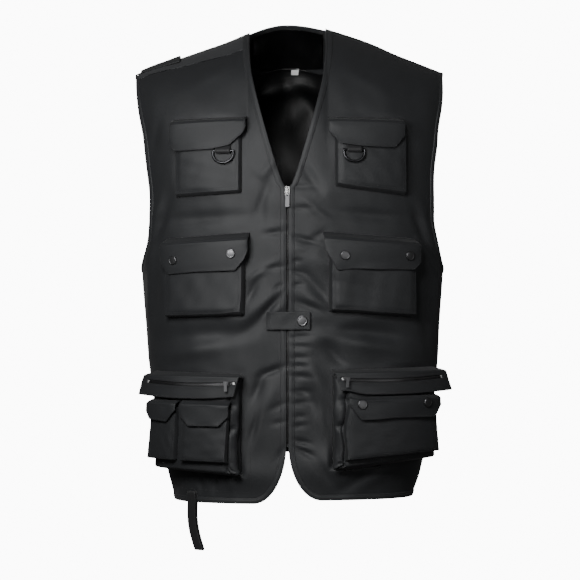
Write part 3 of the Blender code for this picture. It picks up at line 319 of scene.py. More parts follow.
# Fine creases on the fronts: where each is across (a share of HALF_WIDTH) and down (a share of BODY_LENGTH),
# its half length and half width as shares of HALF_WIDTH, its slant in degrees from level, and its height in
# millimetres, which is less than zero for a valley.
Crease = namedtuple("Crease", "across drop length width slant height")
CREASES = tuple(Crease(*row) for row in (
    (-0.085, 0.437, 0.060, 0.012, 6, -1.6),
    (-0.080, 0.422, 0.075, 0.020, 8, 0.9),
    (-0.100, 0.510, 0.085, 0.014, 8, -1.3),
    (-0.055, 0.549, 0.025, 0.011, 30, -1.4),
    (-0.110, 0.590, 0.085, 0.020, 47, -3.6),
    (-0.200, 0.625, 0.120, 0.045, 40, -2.6),
    (-0.065, 0.600, 0.060, 0.025, 45, 1.6),
    (0.120, 0.452, 0.090, 0.014, -14, -2.0),
    (0.200, 0.442, 0.060, 0.016, 30, -1.4),
    (0.080, 0.469, 0.045, 0.020, 0, 0.9),
    (0.065, 0.495, 0.030, 0.012, 4, -1.2),
    (0.070, 0.520, 0.050, 0.014, -12, -1.3),
    (0.070, 0.546, 0.035, 0.013, 6, -1.5),
    (0.160, 0.540, 0.150, 0.035, -48, -2.2),
    (0.190, 0.580, 0.120, 0.035, -28, 1.6),
    (0.130, 0.590, 0.090, 0.022, -22, -1.8),
    (0.085, 0.655, 0.060, 0.016, 4, -1.5),
    (0.085, 0.675, 0.055, 0.016, -4, -1.4),
    (0.085, 0.698, 0.055, 0.015, 0, -1.5),
    (0.080, 0.716, 0.050, 0.015, 2, -1.6),
    (0.090, 0.738, 0.060, 0.016, -4, -1.6),
    (0.085, 0.770, 0.055, 0.016, 0, -1.7),
    (0.085, 0.794, 0.050, 0.015, 4, -1.6),
    (0.080, 0.822, 0.035, 0.013, 0, -1.3),
    (0.080, 0.842, 0.040, 0.014, 6, -1.3),
    (0.095, 0.876, 0.050, 0.016, -14, -2.2),
    (0.110, 0.896, 0.060, 0.017, -30, -2.4),
    (0.105, 0.886, 0.050, 0.014, -22, 1.4),
    (0.190, 0.745, 0.170, 0.045, -62, 1.9),
    (0.130, 0.780, 0.160, 0.040, -55, -1.6),
    (0.215, 0.820, 0.150, 0.035, -80, 1.4),
    (-0.100, 0.727, 0.080, 0.022, 22, -2.6),
    (-0.190, 0.760, 0.090, 0.030, 68, -2.4),
    (-0.215, 0.845, 0.100, 0.022, 74, -2.2),
    (-0.130, 0.790, 0.150, 0.050, 62, 1.8),
    (-0.060, 0.800, 0.060, 0.018, 25, -0.8),
    (-0.055, 0.835, 0.045, 0.016, 10, -0.9),
    (-0.045, 0.900, 0.060, 0.018, 60, -0.9),
    (0.090, 0.385, 0.060, 0.014, 2, -1.1),
    (0.090, 0.340, 0.070, 0.014, 0, -1.0),
    (-0.180, 0.330, 0.100, 0.040, -35, -1.2),
    (-0.160, 0.400, 0.080, 0.030, 80, -0.9),
    (-0.830, 0.420, 0.140, 0.030, 70, -2.2),
    (-0.860, 0.400, 0.150, 0.030, 74, 1.6),
    (-0.900, 0.480, 0.140, 0.030, 64, 1.8),
    (-0.870, 0.560, 0.200, 0.035, 84, -1.6),
    (0.870, 0.430, 0.140, 0.030, -70, -2.2),
    (0.910, 0.420, 0.150, 0.030, -74, 1.6),
    (0.930, 0.500, 0.140, 0.030, -66, 1.8),
    (0.900, 0.620, 0.200, 0.035, -84, -1.6),
    (-0.860, 0.230, 0.120, 0.030, 78, -1.0),
    (-0.500, 0.100, 0.160, 0.050, 30, 1.2),
    (0.500, 0.110, 0.160, 0.050, -30, 1.2),
    (-0.560, 0.965, 0.060, 0.022, 90, -1.6),
    (-0.470, 0.965, 0.060, 0.022, 84, -1.4),
    (-0.360, 0.960, 0.060, 0.022, 90, 1.3),
    (0.420, 0.965, 0.120, 0.040, 30, -1.6),
    (0.300, 0.925, 0.260, 0.110, 6, 3.6),
    (-0.400, 0.945, 0.240, 0.080, 0, 2.4),
    (0.560, 0.955, 0.120, 0.040, 20, 1.4),
    (0.240, 0.940, 0.120, 0.035, -52, -1.8),
    (0.480, 0.645, 0.260, 0.055, -6, -4.2),
    (0.560, 0.672, 0.240, 0.050, -10, 2.2),
    (0.300, 0.690, 0.110, 0.035, -50, -2.0),
    (-0.520, 0.650, 0.260, 0.060, 4, -3.0),
    (-0.600, 0.685, 0.240, 0.050, 10, 1.8),
    (-0.540, 0.405, 0.260, 0.040, 3, -2.0),
    (0.560, 0.400, 0.260, 0.040, -4, -2.2),
    (-0.120, 0.300, 0.100, 0.030, 52, 1.4),
    (-0.160, 0.365, 0.130, 0.030, 68, -1.5),
    (0.150, 0.320, 0.130, 0.032, -58, -1.6),
    (0.190, 0.390, 0.120, 0.030, -40, 1.5),
    (-0.230, 0.560, 0.080, 0.025, 60, -1.8),
    (-0.180, 0.520, 0.120, 0.026, 35, 1.6),
))

CREASE_STRENGTH = 1.7

# Folds of the lining and the neck facing, as seen from in front.
LINING_CREASES = tuple(Crease(*row) for row in (
    (-0.175, 0.076, 0.090, 0.024, 2, 3.4),
    (-0.100, 0.117, 0.110, 0.026, 10, 4.2),
    (0.140, 0.098, 0.120, 0.055, -24, 5.5),
    (0.060, 0.170, 0.120, 0.060, 50, 1.4),
    (-0.070, 0.005, 0.110, 0.060, 58, 3.4),
    (0.090, 0.030, 0.100, 0.050, -66, 2.6),
))

# Left and right ends as shares of HALF_WIDTH, heights at each end as shares of BODY_LENGTH.
Patch = namedtuple("Patch", "left right top_left top_right bottom_left bottom_right")
CHEST_BAGS = {
    "left": Patch(-0.718, -0.293, 0.1975, 0.1930, 0.3615, 0.3535),
    "right": Patch(0.305, 0.762, 0.1935, 0.1945, 0.3395, 0.3575),
}
CHEST_LIDS = {
    "left": Patch(-0.736, -0.258, 0.1975, 0.1930, 0, 0),
    "right": Patch(0.262, 0.735, 0.1935, 0.1945, 0, 0),
}
WAIST_BAGS = {
    "left": Patch(-0.770, -0.270, 0.4470, 0.4370, 0.6150, 0.6110),
    "right": Patch(0.264, 0.812, 0.4350, 0.4470, 0.6020, 0.6130),
}
WAIST_LIDS = {
    "left": Patch(-0.780, -0.244, 0.4475, 0.4355, 0, 0),
    "right": Patch(0.228, 0.820, 0.4335, 0.4475, 0, 0),
}
CARGO_BAGS = {
    "left": Patch(-0.785, -0.292, 0.7260, 0.7310, 0.9350, 0.9500),
    "right": Patch(0.288, 0.880, 0.7230, 0.7170, 0.9380, 0.9130),
}

# Ends as shares of the cargo pocket's width, bottom and top as shares of its height.
Inset = namedtuple("Inset", "name side left right bottom_left bottom_right top lid_top")
SMALL_BAGS = (
    Inset("outer", "left", 0.022, 0.312, 0.155, 0.150, 0.705, 0.795),
    Inset("inner", "left", 0.362, 0.900, 0.150, 0.160, 0.705, 0.795),
    Inset("right", "right", 0.100, 0.955, 0.122, 0.130, 0.700, 0.790),
)

# A flap's lower edge: the way across it, and how far down that edge is as a share of the flap's height.
Edge = namedtuple("Edge", "across down")
LID_EDGES = {
    "chest_left": (Edge(0, 0.75), Edge(0.073, 0.99), Edge(0.55, 1.0), Edge(0.78, 0.91), Edge(0.96, 0.56),
                   Edge(1, 0.30)),
    "chest_right": (Edge(0, 0.50), Edge(0.145, 0.85), Edge(0.42, 0.92), Edge(0.86, 0.93), Edge(1, 0.55)),
    "waist_left": (Edge(0, 0.64), Edge(0.10, 1.0), Edge(0.42, 0.98), Edge(0.855, 1.02), Edge(0.97, 0.70),
                   Edge(1, 0.45)),
    "waist_right": (Edge(0, 0.50), Edge(0.04, 0.70), Edge(0.14, 1.0), Edge(0.93, 0.87), Edge(1, 0.63)),
    "small_outer": (Edge(0, 0.53), Edge(0.14, 0.86), Edge(0.70, 0.95), Edge(1, 0.45)),
    "small_inner": (Edge(0, 0.62), Edge(0.20, 1.08), Edge(0.80, 1.05), Edge(1, 0.62)),
    "small_right": (Edge(0, 0.38), Edge(0.137, 1.0), Edge(0.52, 0.96), Edge(0.93, 1.02), Edge(1, 0.48)),
}

# Where each snap sits: its flap, the way across it, and how far down the flap.
Snap = namedtuple("Snap", "lid across down")
WAIST_SNAPS = (
    Snap("left", 0.165, 0.62), Snap("left", 0.810, 0.54),
    Snap("right", 0.205, 0.66), Snap("right", 0.870, 0.50),
)
SMALL_SNAPS = (Snap("right", 0.165, 0.36), Snap("right", 0.855, 0.36))

# Stitched lines on the fronts, from one place across and down to another.
Seam = namedtuple("Seam", "across drop to_across to_drop")
SEAMS = (
    Seam(-0.237, 0.910, -0.237, 0.978),
    Seam(-0.690, 0.978, -0.237, 0.983),
    Seam(0.276, 0.728, 0.276, 0.925),
    Seam(-0.268, 0.728, -0.268, 0.905),
)

# Soft irregular waves: height, how quick they are across and up, and a seed, to which a piece may add its
# own.
Wave = namedtuple("Wave", "height across up seed")
FRONT_SWELL = Wave(0.0019, 2.2, 4.5, 11)
FRONT_RUMPLE = Wave(0.0009, 6, 11, 5)
BACK_SWELL = Wave(0.0022, 2.0, 2.6, 23)
LINING_SWELL = Wave(0.0060, 2.8, 3.4, 41)
LINING_RUMPLE = Wave(0.0024, 6, 9, 43)
BAND_GATHER = Wave(0.5, 18, 0.4, 7)
BAG_SWELL = Wave(1, 1.3, 1.3, 0)
BAG_RUMPLE = Wave(0.4, 4, 4, 1)
LID_SWELL = Wave(0.0010, 1.6, 0.9, 0)
LID_CURL = Wave(0.0008, 2.5, 1, 1)
GROOVE_WAVER = Wave(0.0012, 3, 0, 0)
GUSSET_CRUMPLE = Wave(0.0070, 220, 16, 3)
TAB_SWELL = Wave(0.0006, 2, 1, 31)
HOOD_SWELL = Wave(0.0011, 2.2, 1, 0)
WANDER_WAVES = 6
WANDER_PACE = (2.5, 9.0)
WANDER_FIRST = 1.2
WANDER_FADE = 0.5
WANDER_SUM = 2.4

# A stitch's cross-sections: how far along it, from end to end, and how large.
Bar = namedtuple("Bar", "end size")
STITCH_PROFILE = (Bar(-1, 0.45), Bar(-0.6, 1), Bar(0.6, 1), Bar(1, 0.45))

# A snap's outline from its middle to its foot, as shares of its radius and height.
Turned = namedtuple("Turned", "out up")
SNAP_PROFILE = (
    Turned(0, 0.90), Turned(0.25, 0.895), Turned(0.50, 0.87), Turned(0.68, 0.83), Turned(0.74, 0.80),
    Turned(0.78, 0.86), Turned(0.83, 0.90), Turned(0.88, 0.88), Turned(0.94, 0.76), Turned(0.985, 0.55),
    Turned(1.0, 0.30), Turned(0.99, 0.0),
)

# Finishes: colour, roughness, metallic, sheen, how strong the weave's bump is and how long its threads are.
Finish = namedtuple("Finish", "colour roughness metallic sheen bump pitch")
FINISHES = {
    "twill": Finish((0.0150, 0.0161, 0.0178), 0.60, 0, 0.05, 0.30, 0.0011),
    "lining": Finish((0.0020, 0.0020, 0.0023), 0.36, 0, 0, 0.05, 0.0009),
    "binding": Finish((0.0192, 0.0204, 0.0222), 0.60, 0, 0.06, 0.30, 0.0011),
    # The yoke's finish is a lighter copy of the cloth with more sheen: painted light for the brighter sheen
    # the yoke's cloth catches.
    "yoke": Finish((0.0320, 0.0338, 0.0365), 0.60, 0, 0.08, 0.30, 0.0011),
    "webbing": Finish((0.0160, 0.0160, 0.0170), 0.62, 0, 0.06, 0.45, 0.0016),
    "zip": Finish((0.0070, 0.0070, 0.0075), 0.45, 0, 0.02, 0.2, 0.0012),
    "gunmetal": Finish((0.150, 0.150, 0.155), 0.40, 1, 0, 0, 0),
    "dark_ring": Finish((0.060, 0.060, 0.064), 0.34, 1, 0, 0, 0),
    "nickel": Finish((0.620, 0.620, 0.610), 0.24, 1, 0, 0, 0),
    # Near-white rough finish for the hood zips' end stops: light metal, with their glint painted in as
    # colour.
    "bright_stop": Finish((0.850, 0.850, 0.840), 0.55, 0.6, 0, 0, 0),
    "label": Finish((0.800, 0.800, 0.790), 0.70, 0, 0, 0.1, 0.0008),
}

SHEEN_ROUGHNESS = 0.5
LINING_SPECULAR = 0.42
MOTTLE_SCALE = 60
MOTTLE_DETAIL = 6
MOTTLE_SHADES = (0.86, 1.16)
WEAVE_SLANT = 52
WEAVE_SCALE = 0.314
WEAVE_DISTORTION = 1.2
WEAVE_DETAIL = 2
WEAVE_DEPTH = 0.25

# Lamps: their place, size in metres and power in watts, all aimed at one height on the vest.
Lamp = namedtuple("Lamp", "name x y z size power")
LAMPS = (
    Lamp("key", -0.36, -1.00, -0.10, 0.30, 7.0),
    Lamp("high", -0.45, -2.5, 0.85, 0.4, 26),
    Lamp("fill", 1.6, -2.6, -0.1, 1.4, 7),
    Lamp("rear", 0, 2.4, 0.1, 0.8, 80),
)
LAMP_AIM = -0.30
WORLD_LIGHT = 0.05
BACKDROP_LIGHT = 11
BACKDROP_RADIUS = 14

CAMERA_ANGLE = 11.92
CAMERA_PLACE = (0.0036, -4.0, -0.37)

stitch_lines = []


def lerp(start, end, share):
    """Value a share of the way from start to end."""
    return start + (end - start) * share


def ramp(value, low, high):
    """A smooth step from 0 at low to 1 at high."""
    share = np.clip((value - low) / (high - low), 0, 1)
    return share * share * (3 - 2 * share)


def read(rows, column, at, curved=True):
    """A table's named column at places along its first column, on a curve or on straight lines."""
    keys = np.array([row[0] for row in rows], float)
    values = np.array([getattr(row, column) for row in rows], float)
    at = np.clip(at, keys[0], keys[-1])
    if not curved:
        return np.interp(at, keys, values)
    i = np.clip(np.searchsorted(keys, at, side="right") - 1, 0, len(keys) - 2)
    low = np.maximum(np.arange(len(keys)) - 1, 0)
    high = np.minimum(np.arange(len(keys)) + 1, len(keys) - 1)
    slopes = (values[high] - values[low]) / (keys[high] - keys[low])
    span = keys[i + 1] - keys[i]
    share = (at - keys[i]) / span
    square, cube = share ** 2, share ** 3
    return (values[i] * (2 * cube - 3 * square + 1) + slopes[i] * span * (cube - 2 * square + share)
            + values[i + 1] * (3 * square - 2 * cube) + slopes[i + 1] * span * (cube - square))


def wander(u, v, seed):
    """A soft irregular wave between about -1 and 1, the same each run."""
    chance = np.random.default_rng(seed)
    total = 0
    for k in range(WANDER_WAVES):
        turn, phase = chance.uniform(0, 2 * np.pi, 2)
        pace = chance.uniform(*WANDER_PACE)
        along = u * np.cos(turn) + v * np.sin(turn)
        total = total + np.sin(pace * along + phase) / (WANDER_FIRST + WANDER_FADE * k)
    return total / WANDER_SUM


def ridge_height(x):
    """Height of the shoulder ridge above a place across."""
    out = (np.abs(x) - NECK_HALF) / (SHOULDER_HALF - NECK_HALF)
    drop = np.where(x < 0, read(SHOULDER_LINE, "left", out), read(SHOULDER_LINE, "right", out))
    slope = -SHOULDER_DROP * drop
    middle = -SHOULDER_DROP * (SHOULDER_LINE[0].left + SHOULDER_LINE[0].right) / 2
    inside = lerp(middle + NECK_STAND, slope, np.minimum((x / NECK_HALF) ** 2, 1))
    return np.where(out >= 0, slope, inside)


def back_neck_height(x):
    """Height of the back neck's top edge."""
    return ridge_height(x) - (NECK_STAND - BACK_NECK_RISE) * np.maximum(0, 1 - (x / NECK_HALF) ** 2)


def hem_sag(side):
    """How much lower than BODY_LENGTH a side's hem hangs."""
    return LEFT_HEM_SAG if side == "left" else 0


def hem_height(turn):
    """Height of the back hem: a little higher at the centre back."""
    behind = np.maximum(0, np.abs(turn) - 1)
    sag = LEFT_HEM_SAG * (1 - ramp(behind, 0, 0.6)) * (np.asarray(turn) < 0)
    return -BODY_LENGTH + BACK_HEM_RISE * np.sin(behind * np.pi / 2) ** 2 - sag


def wave(row, u, v, seed=0):
    """The height of a wave of a table's row at places across and up."""
    return row.height * wander(u * row.across, v * row.up, row.seed + seed)


def hill(distance, width):
    """1 at no distance, falling smoothly to 0 over a few widths."""
    return np.exp(-(distance / width) ** 2)


def rise(share):
    """How fast the surface comes forward, or back, below the shoulder ridge."""
    return (1 - (1 - np.clip(share, 0, 1)) ** RISE_BEND) ** RISE_POWER


def bump(across, along, row, height):
    """A fold's height at places measured from its middle, in shares of HALF_WIDTH."""
    slant = radians(row.slant)
    length = (across * np.cos(slant) + along * np.sin(slant)) / row.length
    width = (along * np.cos(slant) - across * np.sin(slant)) / row.width
    return height * np.exp(-np.minimum(length ** 2 + width ** 2, 30))


def bare(across, drop):
    """1 where no pocket covers the front, 0 under one."""
    free = np.ones_like(across)
    for bags in (CHEST_BAGS, WAIST_BAGS, CARGO_BAGS):
        for row in bags.values():
            side = np.maximum(row.left - across, across - row.right)
            top = lerp(row.top_left, row.top_right, 0.5)
            bottom = lerp(row.bottom_left, row.bottom_right, 0.5)
            level = np.maximum(top - drop, drop - bottom) * BODY_LENGTH / HALF_WIDTH
            free = free * ramp(np.maximum(side, level), *POCKET_MARGIN)
    return free


def bumps(rows, across, z, share):
    """The height of all of a table's folds at places across, as shares of HALF_WIDTH, and up, in metres."""
    total = 0
    for row in rows:
        along = (z + row.drop * BODY_LENGTH) / HALF_WIDTH
        total = total + bump(across - row.across, along, row, share * row.height / 1000)
    return total


def swell_height(turn, z, x, creased):
    """How far folds push the surface out at a place."""
    total = 0
    for fold in FOLDS:
        gap = turn - fold.turn
        gap = np.where(gap < -2, gap + 4, gap)
        along = (z + fold.drop * BODY_LENGTH) / HALF_WIDTH
        total = total + bump(gap * FOLD_ARC, along, fold, fold.height * HALF_WIDTH)
    if not creased:
        return total
    across, drop = x / HALF_WIDTH, -z / BODY_LENGTH
    fine = bumps(CREASES, across, z, CREASE_STRENGTH)
    soft = wave(FRONT_SWELL, across, drop) + wave(FRONT_RUMPLE, across, drop)
    behind = wave(BACK_SWELL, turn, drop)
    ahead = np.abs(turn) < 1
    away = ramp(np.abs(np.abs(turn) - 1), 0, SEAM_CALM_REACH)
    return total + np.where(ahead, (fine + soft) * bare(across, drop), behind) * lerp(SEAM_CALM, 1, away)


def body_point(turn, z, creased=True):
    """Places on the body surface at turns and heights."""
    turn, z = np.broadcast_arrays(np.asarray(turn, float), np.asarray(z, float))
    turn = np.where(turn > 2, turn - 4, turn)
    drop = -z / BODY_LENGTH
    half = HALF_WIDTH * read(SECTIONS, "width", drop)
    ahead = np.abs(turn) < 1
    front, behind = -FRONT_DEPTH * read(SECTIONS, "front", drop), BACK_DEPTH * read(SECTIONS, "back", drop)
    depth = np.where(ahead, front, behind)
    angle = np.abs(turn) * np.pi / 2
    across = np.maximum(np.sin(angle), 0) ** (2 / SQUARENESS) * np.where(turn >= 0, 1, -1)
    along = np.abs(np.cos(angle)) ** (2 / SQUARENESS)
    x = HALF_WIDTH * read(SECTIONS, "shift", drop) + half * across
    out = np.clip((np.abs(x) - NECK_HALF) / (SHOULDER_HALF - NECK_HALF), 0, 1)
    reach = np.where(ahead, FRONT_REACH, BACK_REACH) * lerp(1, TIP_REACH, out)
    y = depth * along * rise((ridge_height(x) - z) / reach)
    size = np.sqrt((across * np.abs(depth)) ** 2 + (along * half) ** 2 + 1e-12)
    swell = swell_height(turn, z, x, creased) / size
    facing = np.where(ahead, -1, 1)
    return np.stack((x + swell * across * np.abs(depth), y + swell * along * half * facing, z), -1)


def turn_at(x, z):
    """The turn in front at places across and heights."""
    drop = -z / BODY_LENGTH
    share = (x - HALF_WIDTH * read(SECTIONS, "shift", drop)) / (HALF_WIDTH * read(SECTIONS, "width", drop))
    turn = np.arcsin(np.minimum(np.abs(share), 1) ** (SQUARENESS / 2)) * 2 / np.pi
    return np.where(share >= 0, turn, -turn)


def unit(vectors):
    """Vectors made one long."""
    return vectors / (np.linalg.norm(vectors, axis=-1, keepdims=True) + 1e-15)


def outward_of(place, u, v, step):
    """The outward normals of a surface that runs right and up as seen from outside."""
    across = place(u + step, v) - place(u - step, v)
    up = place(u, v + step) - place(u, v - step)
    return unit(np.cross(across, up))


def raised(place, u, v, height, step=0.004):
    """Places on a surface raised along its normal."""
    return place(u, v) + outward_of(place, u, v, step) * np.asarray(height)[..., None]


def seat(place, u, v, height):
    """A spot on a surface and its axes: level to the right, outward, and up along the surface."""
    u, v = np.array([u]), np.array([v])
    outward = outward_of(place, u, v, 0.01)[0]
    level = unit(np.cross(outward, (0, 0, 1)))
    if level[0] < 0:
        level = -level
    upward = unit(np.cross(level, -outward))
    if upward[2] < 0:
        upward = -upward
    return place(u, v)[0] + outward * height, level, outward, upward


def spaced(count, edge):
    """Shares from 0 to 1 with closer steps within an edge's share of either end."""
    near = edge * np.array([0, 0.06, 0.2, 0.42, 0.7, 1.0])
    middle = np.linspace(edge, 1 - edge, max(count - 10, 3))
    return np.concatenate((near[:-1], middle, 1 - near[:-1][::-1]))


def stepped(*stretches):
    """Shares from 0 to 1 in even stretches, each given by its end and its number of steps."""
    start, steps = 0, [np.zeros(1)]
    for end, count in stretches:
        steps.append(np.linspace(start, end, count + 1)[1:])
        start = end
    return np.concatenate(steps)


def run_along(path):
    """How far along a path each of its points is."""
    return np.pad(np.linalg.norm(np.diff(path, axis=0), axis=1).cumsum(), (1, 0))


def fill(node, values):
    """A shader node with its inputs set by name."""
    for name, value in values.items():
        node.inputs[name].default_value = value
    return node


def material(name):
    """The material of a finish, made once: cloth has a fine diagonal weave and soft mottling."""
    found = bpy.data.materials.get("vest_" + name)
    if found:
        return found
    finish = FINISHES[name]
    made = bpy.data.materials.new("vest_" + name)
    made.use_nodes = True
    nodes, links = made.node_tree.nodes, made.node_tree.links
    shader = fill(nodes["Principled BSDF"], {
        "Base Color": (*finish.colour, 1), "Roughness": finish.roughness, "Metallic": finish.metallic,
        "Sheen Weight": finish.sheen, "Sheen Roughness": SHEEN_ROUGHNESS})
    if name == "lining":
        fill(shader, {"Specular IOR Level": LINING_SPECULAR})
    if not finish.bump:
        return made
    place = nodes.new("ShaderNodeTexCoord").outputs["Object"]
    mottle = fill(nodes.new("ShaderNodeTexNoise"), {"Scale": MOTTLE_SCALE, "Detail": MOTTLE_DETAIL})
    links.new(place, mottle.inputs["Vector"])
    shade = nodes.new("ShaderNodeMix")
    shade.data_type = "RGBA"
    dark, light = ((*(share * part for part in finish.colour), 1) for share in MOTTLE_SHADES)
    fill(shade, {"A": dark, "B": light})
    links.new(mottle.outputs["Fac"], shade.inputs["Factor"])
    links.new(shade.outputs["Result"], shader.inputs["Base Color"])
    turned = fill(nodes.new("ShaderNodeMapping"), {"Rotation": (0, radians(WEAVE_SLANT), 0)})
    links.new(place, turned.inputs["Vector"])
    weave = nodes.new("ShaderNodeTexWave")
    weave.bands_direction = "Z"
    fill(weave, {"Scale": WEAVE_SCALE / finish.pitch, "Distortion": WEAVE_DISTORTION, "Detail": WEAVE_DETAIL})
    links.new(turned.outputs["Vector"], weave.inputs["Vector"])
    relief = nodes.new("ShaderNodeBump")
    fill(relief, {"Strength": finish.bump, "Distance": finish.pitch * WEAVE_DEPTH})
    links.new(weave.outputs["Fac"], relief.inputs["Height"])
    links.new(relief.outputs["Normal"], shader.inputs["Normal"])
    return made


def add_piece(name, vertices, faces, finish, replaced=(), body="vest"):
    """A smooth mesh piece that rides on a body and stands for the named nodes."""
    mesh = bpy.data.meshes.new(name)
    mesh.from_pydata(vertices.tolist(), [], faces)
    mesh.shade_smooth()
    mesh.materials.append(material(finish))
    piece = bpy.data.objects.new(name, mesh)
    bpy.context.scene.collection.objects.link(piece)
    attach(piece, body)
    if replaced:
        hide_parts(*replaced)
    return piece


def grid_faces(index):
    """Quads of a grid of vertex numbers, whose rows run right and whose columns run up."""
    return np.stack((index[:-1, :-1], index[:-1, 1:], index[1:, 1:], index[1:, :-1]), -1).reshape(-1, 4)


def grid_normals(points):
    """Outward normals of a grid of points."""
    across, up = np.gradient(points, axis=1), np.gradient(points, axis=0)
    return unit(np.cross(across, up))


def edge_distance(points):
    """How far each point of a grid is from its nearest border, along the surface."""
    across = np.linalg.norm(np.diff(points, axis=1), axis=-1).cumsum(1)
    across = np.pad(across, ((0, 0), (1, 0)))
    up = np.linalg.norm(np.diff(points, axis=0), axis=-1).cumsum(0)
    up = np.pad(up, ((1, 0), (0, 0)))
    sides = np.minimum(across, across[:, -1:] - across)
    ends = np.minimum(up, up[-1:, :] - up)
    return np.minimum(sides, ends)


def shell(name, points, thickness, finish, replaced=(), round_over=None):
    """Cloth as a closed wall below a grid of outer points, with rounded borders."""
    normals = grid_normals(points)
    radius = round_over or thickness / 2
    near = 1 - np.minimum(edge_distance(points) / radius, 1)
    full = np.sqrt(np.maximum(1 - near ** 2, 0))[..., None]
    outer = points - normals * (thickness / 2) * (1 - full)
    inner = points - normals * (thickness / 2) * (1 + full)
    rows, columns = points.shape[:2]
    index = np.arange(rows * columns).reshape(rows, columns)
    under = index.copy()
    under[1:-1, 1:-1] = rows * columns + np.arange((rows - 2) * (columns - 2)).reshape(rows - 2, columns - 2)
    vertices = np.concatenate((outer.reshape(-1, 3), inner[1:-1, 1:-1].reshape(-1, 3)))
    faces = np.concatenate((grid_faces(index), grid_faces(under)[:, ::-1]))
    return add_piece(name, vertices, faces.tolist(), finish, replaced)


def patch(name, surface, us, vs, thickness, finish, replaced=(), round_over=None):
    """A piece of cloth laid on surface(u, v) at the given shares across and up."""
    u, v = np.meshgrid(us, vs)
    return shell(name, surface(u, v), thickness, finish, replaced, round_over)


def stitch(surface, u, v):
    """Keep a row of stitches along a surface, through shares across and up, to be made with all others."""
    u, v = np.broadcast_arrays(np.asarray(u, float), np.asarray(v, float))
    run = run_along(surface(u, v))
    count = int(run[-1] / STITCH_PITCH)
    if count < 2:
        return
    at = (np.arange(count) + 0.5) * STITCH_PITCH
    us, vs = np.interp(at, run, u), np.interp(at, run, v)
    spots = surface(us, vs)
    stitch_lines.append((spots, unit(np.gradient(spots, axis=0)), outward_of(surface, us, vs, 0.002)))


def make_stitches():
    """All the rows of stitches as one piece of small rounded bars."""
    spots, along, outward = (np.concatenate([line[k] for line in stitch_lines]) for k in range(3))
    side = unit(np.cross(outward, along))
    corners = []
    for row in STITCH_PROFILE:
        for across, up in ((-1, 0), (0, 1), (1, 0)):
            lift = STITCH_HEIGHT * up * row.size - STITCH_HEIGHT * STITCH_SINK
            corners.append(spots + along * row.end * STITCH_LENGTH / 2
                           + side * across * row.size * STITCH_WIDTH / 2 + outward * lift)
    vertices = np.stack(corners, 1).reshape(-1, 3)
    bar = [(start + a, start + b, start + 3 + b, start + 3 + a)
           for start in (0, 3, 6) for a, b in ((0, 1), (1, 2), (2, 0))]
    bar += [(2, 1, 0), (9, 10, 11)]
    starts = 12 * np.arange(len(spots))[:, None]
    faces = [own for face in bar for own in (starts + np.array(face)).tolist()]
    add_piece("stitches", vertices, faces, "binding")


def opening_edge(z, inset, sag=0):
    """How far the front edge is from the centre at heights, in by an inset."""
    drop = -z
    neck = np.maximum(read(NECK_EDGE, "width", drop / OPENING_DROP) * NECK_HALF, FRONT_GAP / 2) + inset
    down = np.clip((CORNER_TOP - z) / (CORNER_HEIGHT + sag - inset), 0, 1)
    corner = FRONT_GAP / 2 + inset + (CORNER_WIDTH - inset) * (1 - np.sqrt(1 - down ** 2))
    return np.where(drop <= OPENING_DROP, neck, corner)


def armhole_path(side, inset, steps=90):
    """Turns and heights along the armhole's edge, from the shoulder in front round to the shoulder behind."""
    sign = SIGN[side]
    tip = float(ridge_height(np.array(sign * SHOULDER_HALF)))
    downs = 1 - (1 - np.arange(steps + 1) / steps) ** 1.5
    turns = np.concatenate((read(ARMHOLE_EDGE, "front", downs), read(ARMHOLE_EDGE, "back", downs)[-2::-1]))
    downs = np.concatenate((downs, downs[-2::-1]))
    heights = lerp(tip, -ARMHOLE_DROP, downs)
    arc = HALF_WIDTH * SIDE_ARC
    run, fall = np.gradient(turns) * arc, np.gradient(heights)
    size = np.hypot(run, fall)
    moved_turns = turns + inset * fall / size / arc
    moved_heights = heights - inset * run / size
    moved_heights[0] = moved_heights[-1] = tip
    return sign * moved_turns, moved_heights


def side_edge(side, z, behind, inset):
    """The turn of a body panel's outer edge at heights: the armhole's edge, or the side seam below it."""
    sign = SIGN[side]
    turns, heights = armhole_path(side, inset)
    middle = len(turns) // 2
    half = slice(middle, None) if behind else slice(middle, None, -1)
    turns, heights = np.abs(turns[half]), heights[half]
    found = np.interp(z, np.maximum.accumulate(heights), turns)
    found = np.where(z < heights[0], 1, found)
    return sign * (np.maximum(found, 1) if behind else np.minimum(found, 1))


def yoke_drop(x):
    """How far below the shoulder ridge the yoke's front seam lies, viewer's left."""
    out = (np.abs(x) - NECK_HALF) / (SHOULDER_HALF - NECK_HALF)
    return lerp(YOKE_DROP_NECK, YOKE_DROP_TIP, np.clip(out, 0, 1))


def front_place(side, u, down):
    """Places on a front panel: u across from left to right, down from its top edge to its hem."""
    sign = SIGN[side]
    inset = BAND_WIDTH - BAND_OVERLAP

    def height(x):
        top = ridge_height(x)
        if side == "left":
            top = top - yoke_drop(x) + SEAM_OVERLAP
        return lerp(top, -BODY_LENGTH - hem_sag(side) + inset, down)

    inner_x, outer_x = sign * NECK_HALF + 0 * u, sign * SHOULDER_HALF + 0 * u
    for _ in range(4):
        inner_z = height(inner_x)
        inner_x = sign * opening_edge(inner_z, inset, hem_sag(side))
        outer_z = height(outer_x)
        outer_turn = side_edge(side, outer_z, False, inset)
        outer_x = body_point(outer_turn, outer_z, False)[..., 0]
    inner_turn = turn_at(inner_x, inner_z)
    outer_turn = outer_turn + sign * SEAM_LAP * (np.abs(outer_turn) > 0.9999)
    share = 1 - u if side == "left" else u
    turn = lerp(inner_turn, outer_turn, share)
    x = body_point(turn, lerp(inner_z, outer_z, share), False)[..., 0]
    for _ in range(2):
        x = body_point(turn, height(x), False)[..., 0]
    spot = body_point(turn, height(x))
    spot[..., 0] += sign * LAP_RISE * ramp(np.abs(turn), 0.985, 1.0)
    return spot


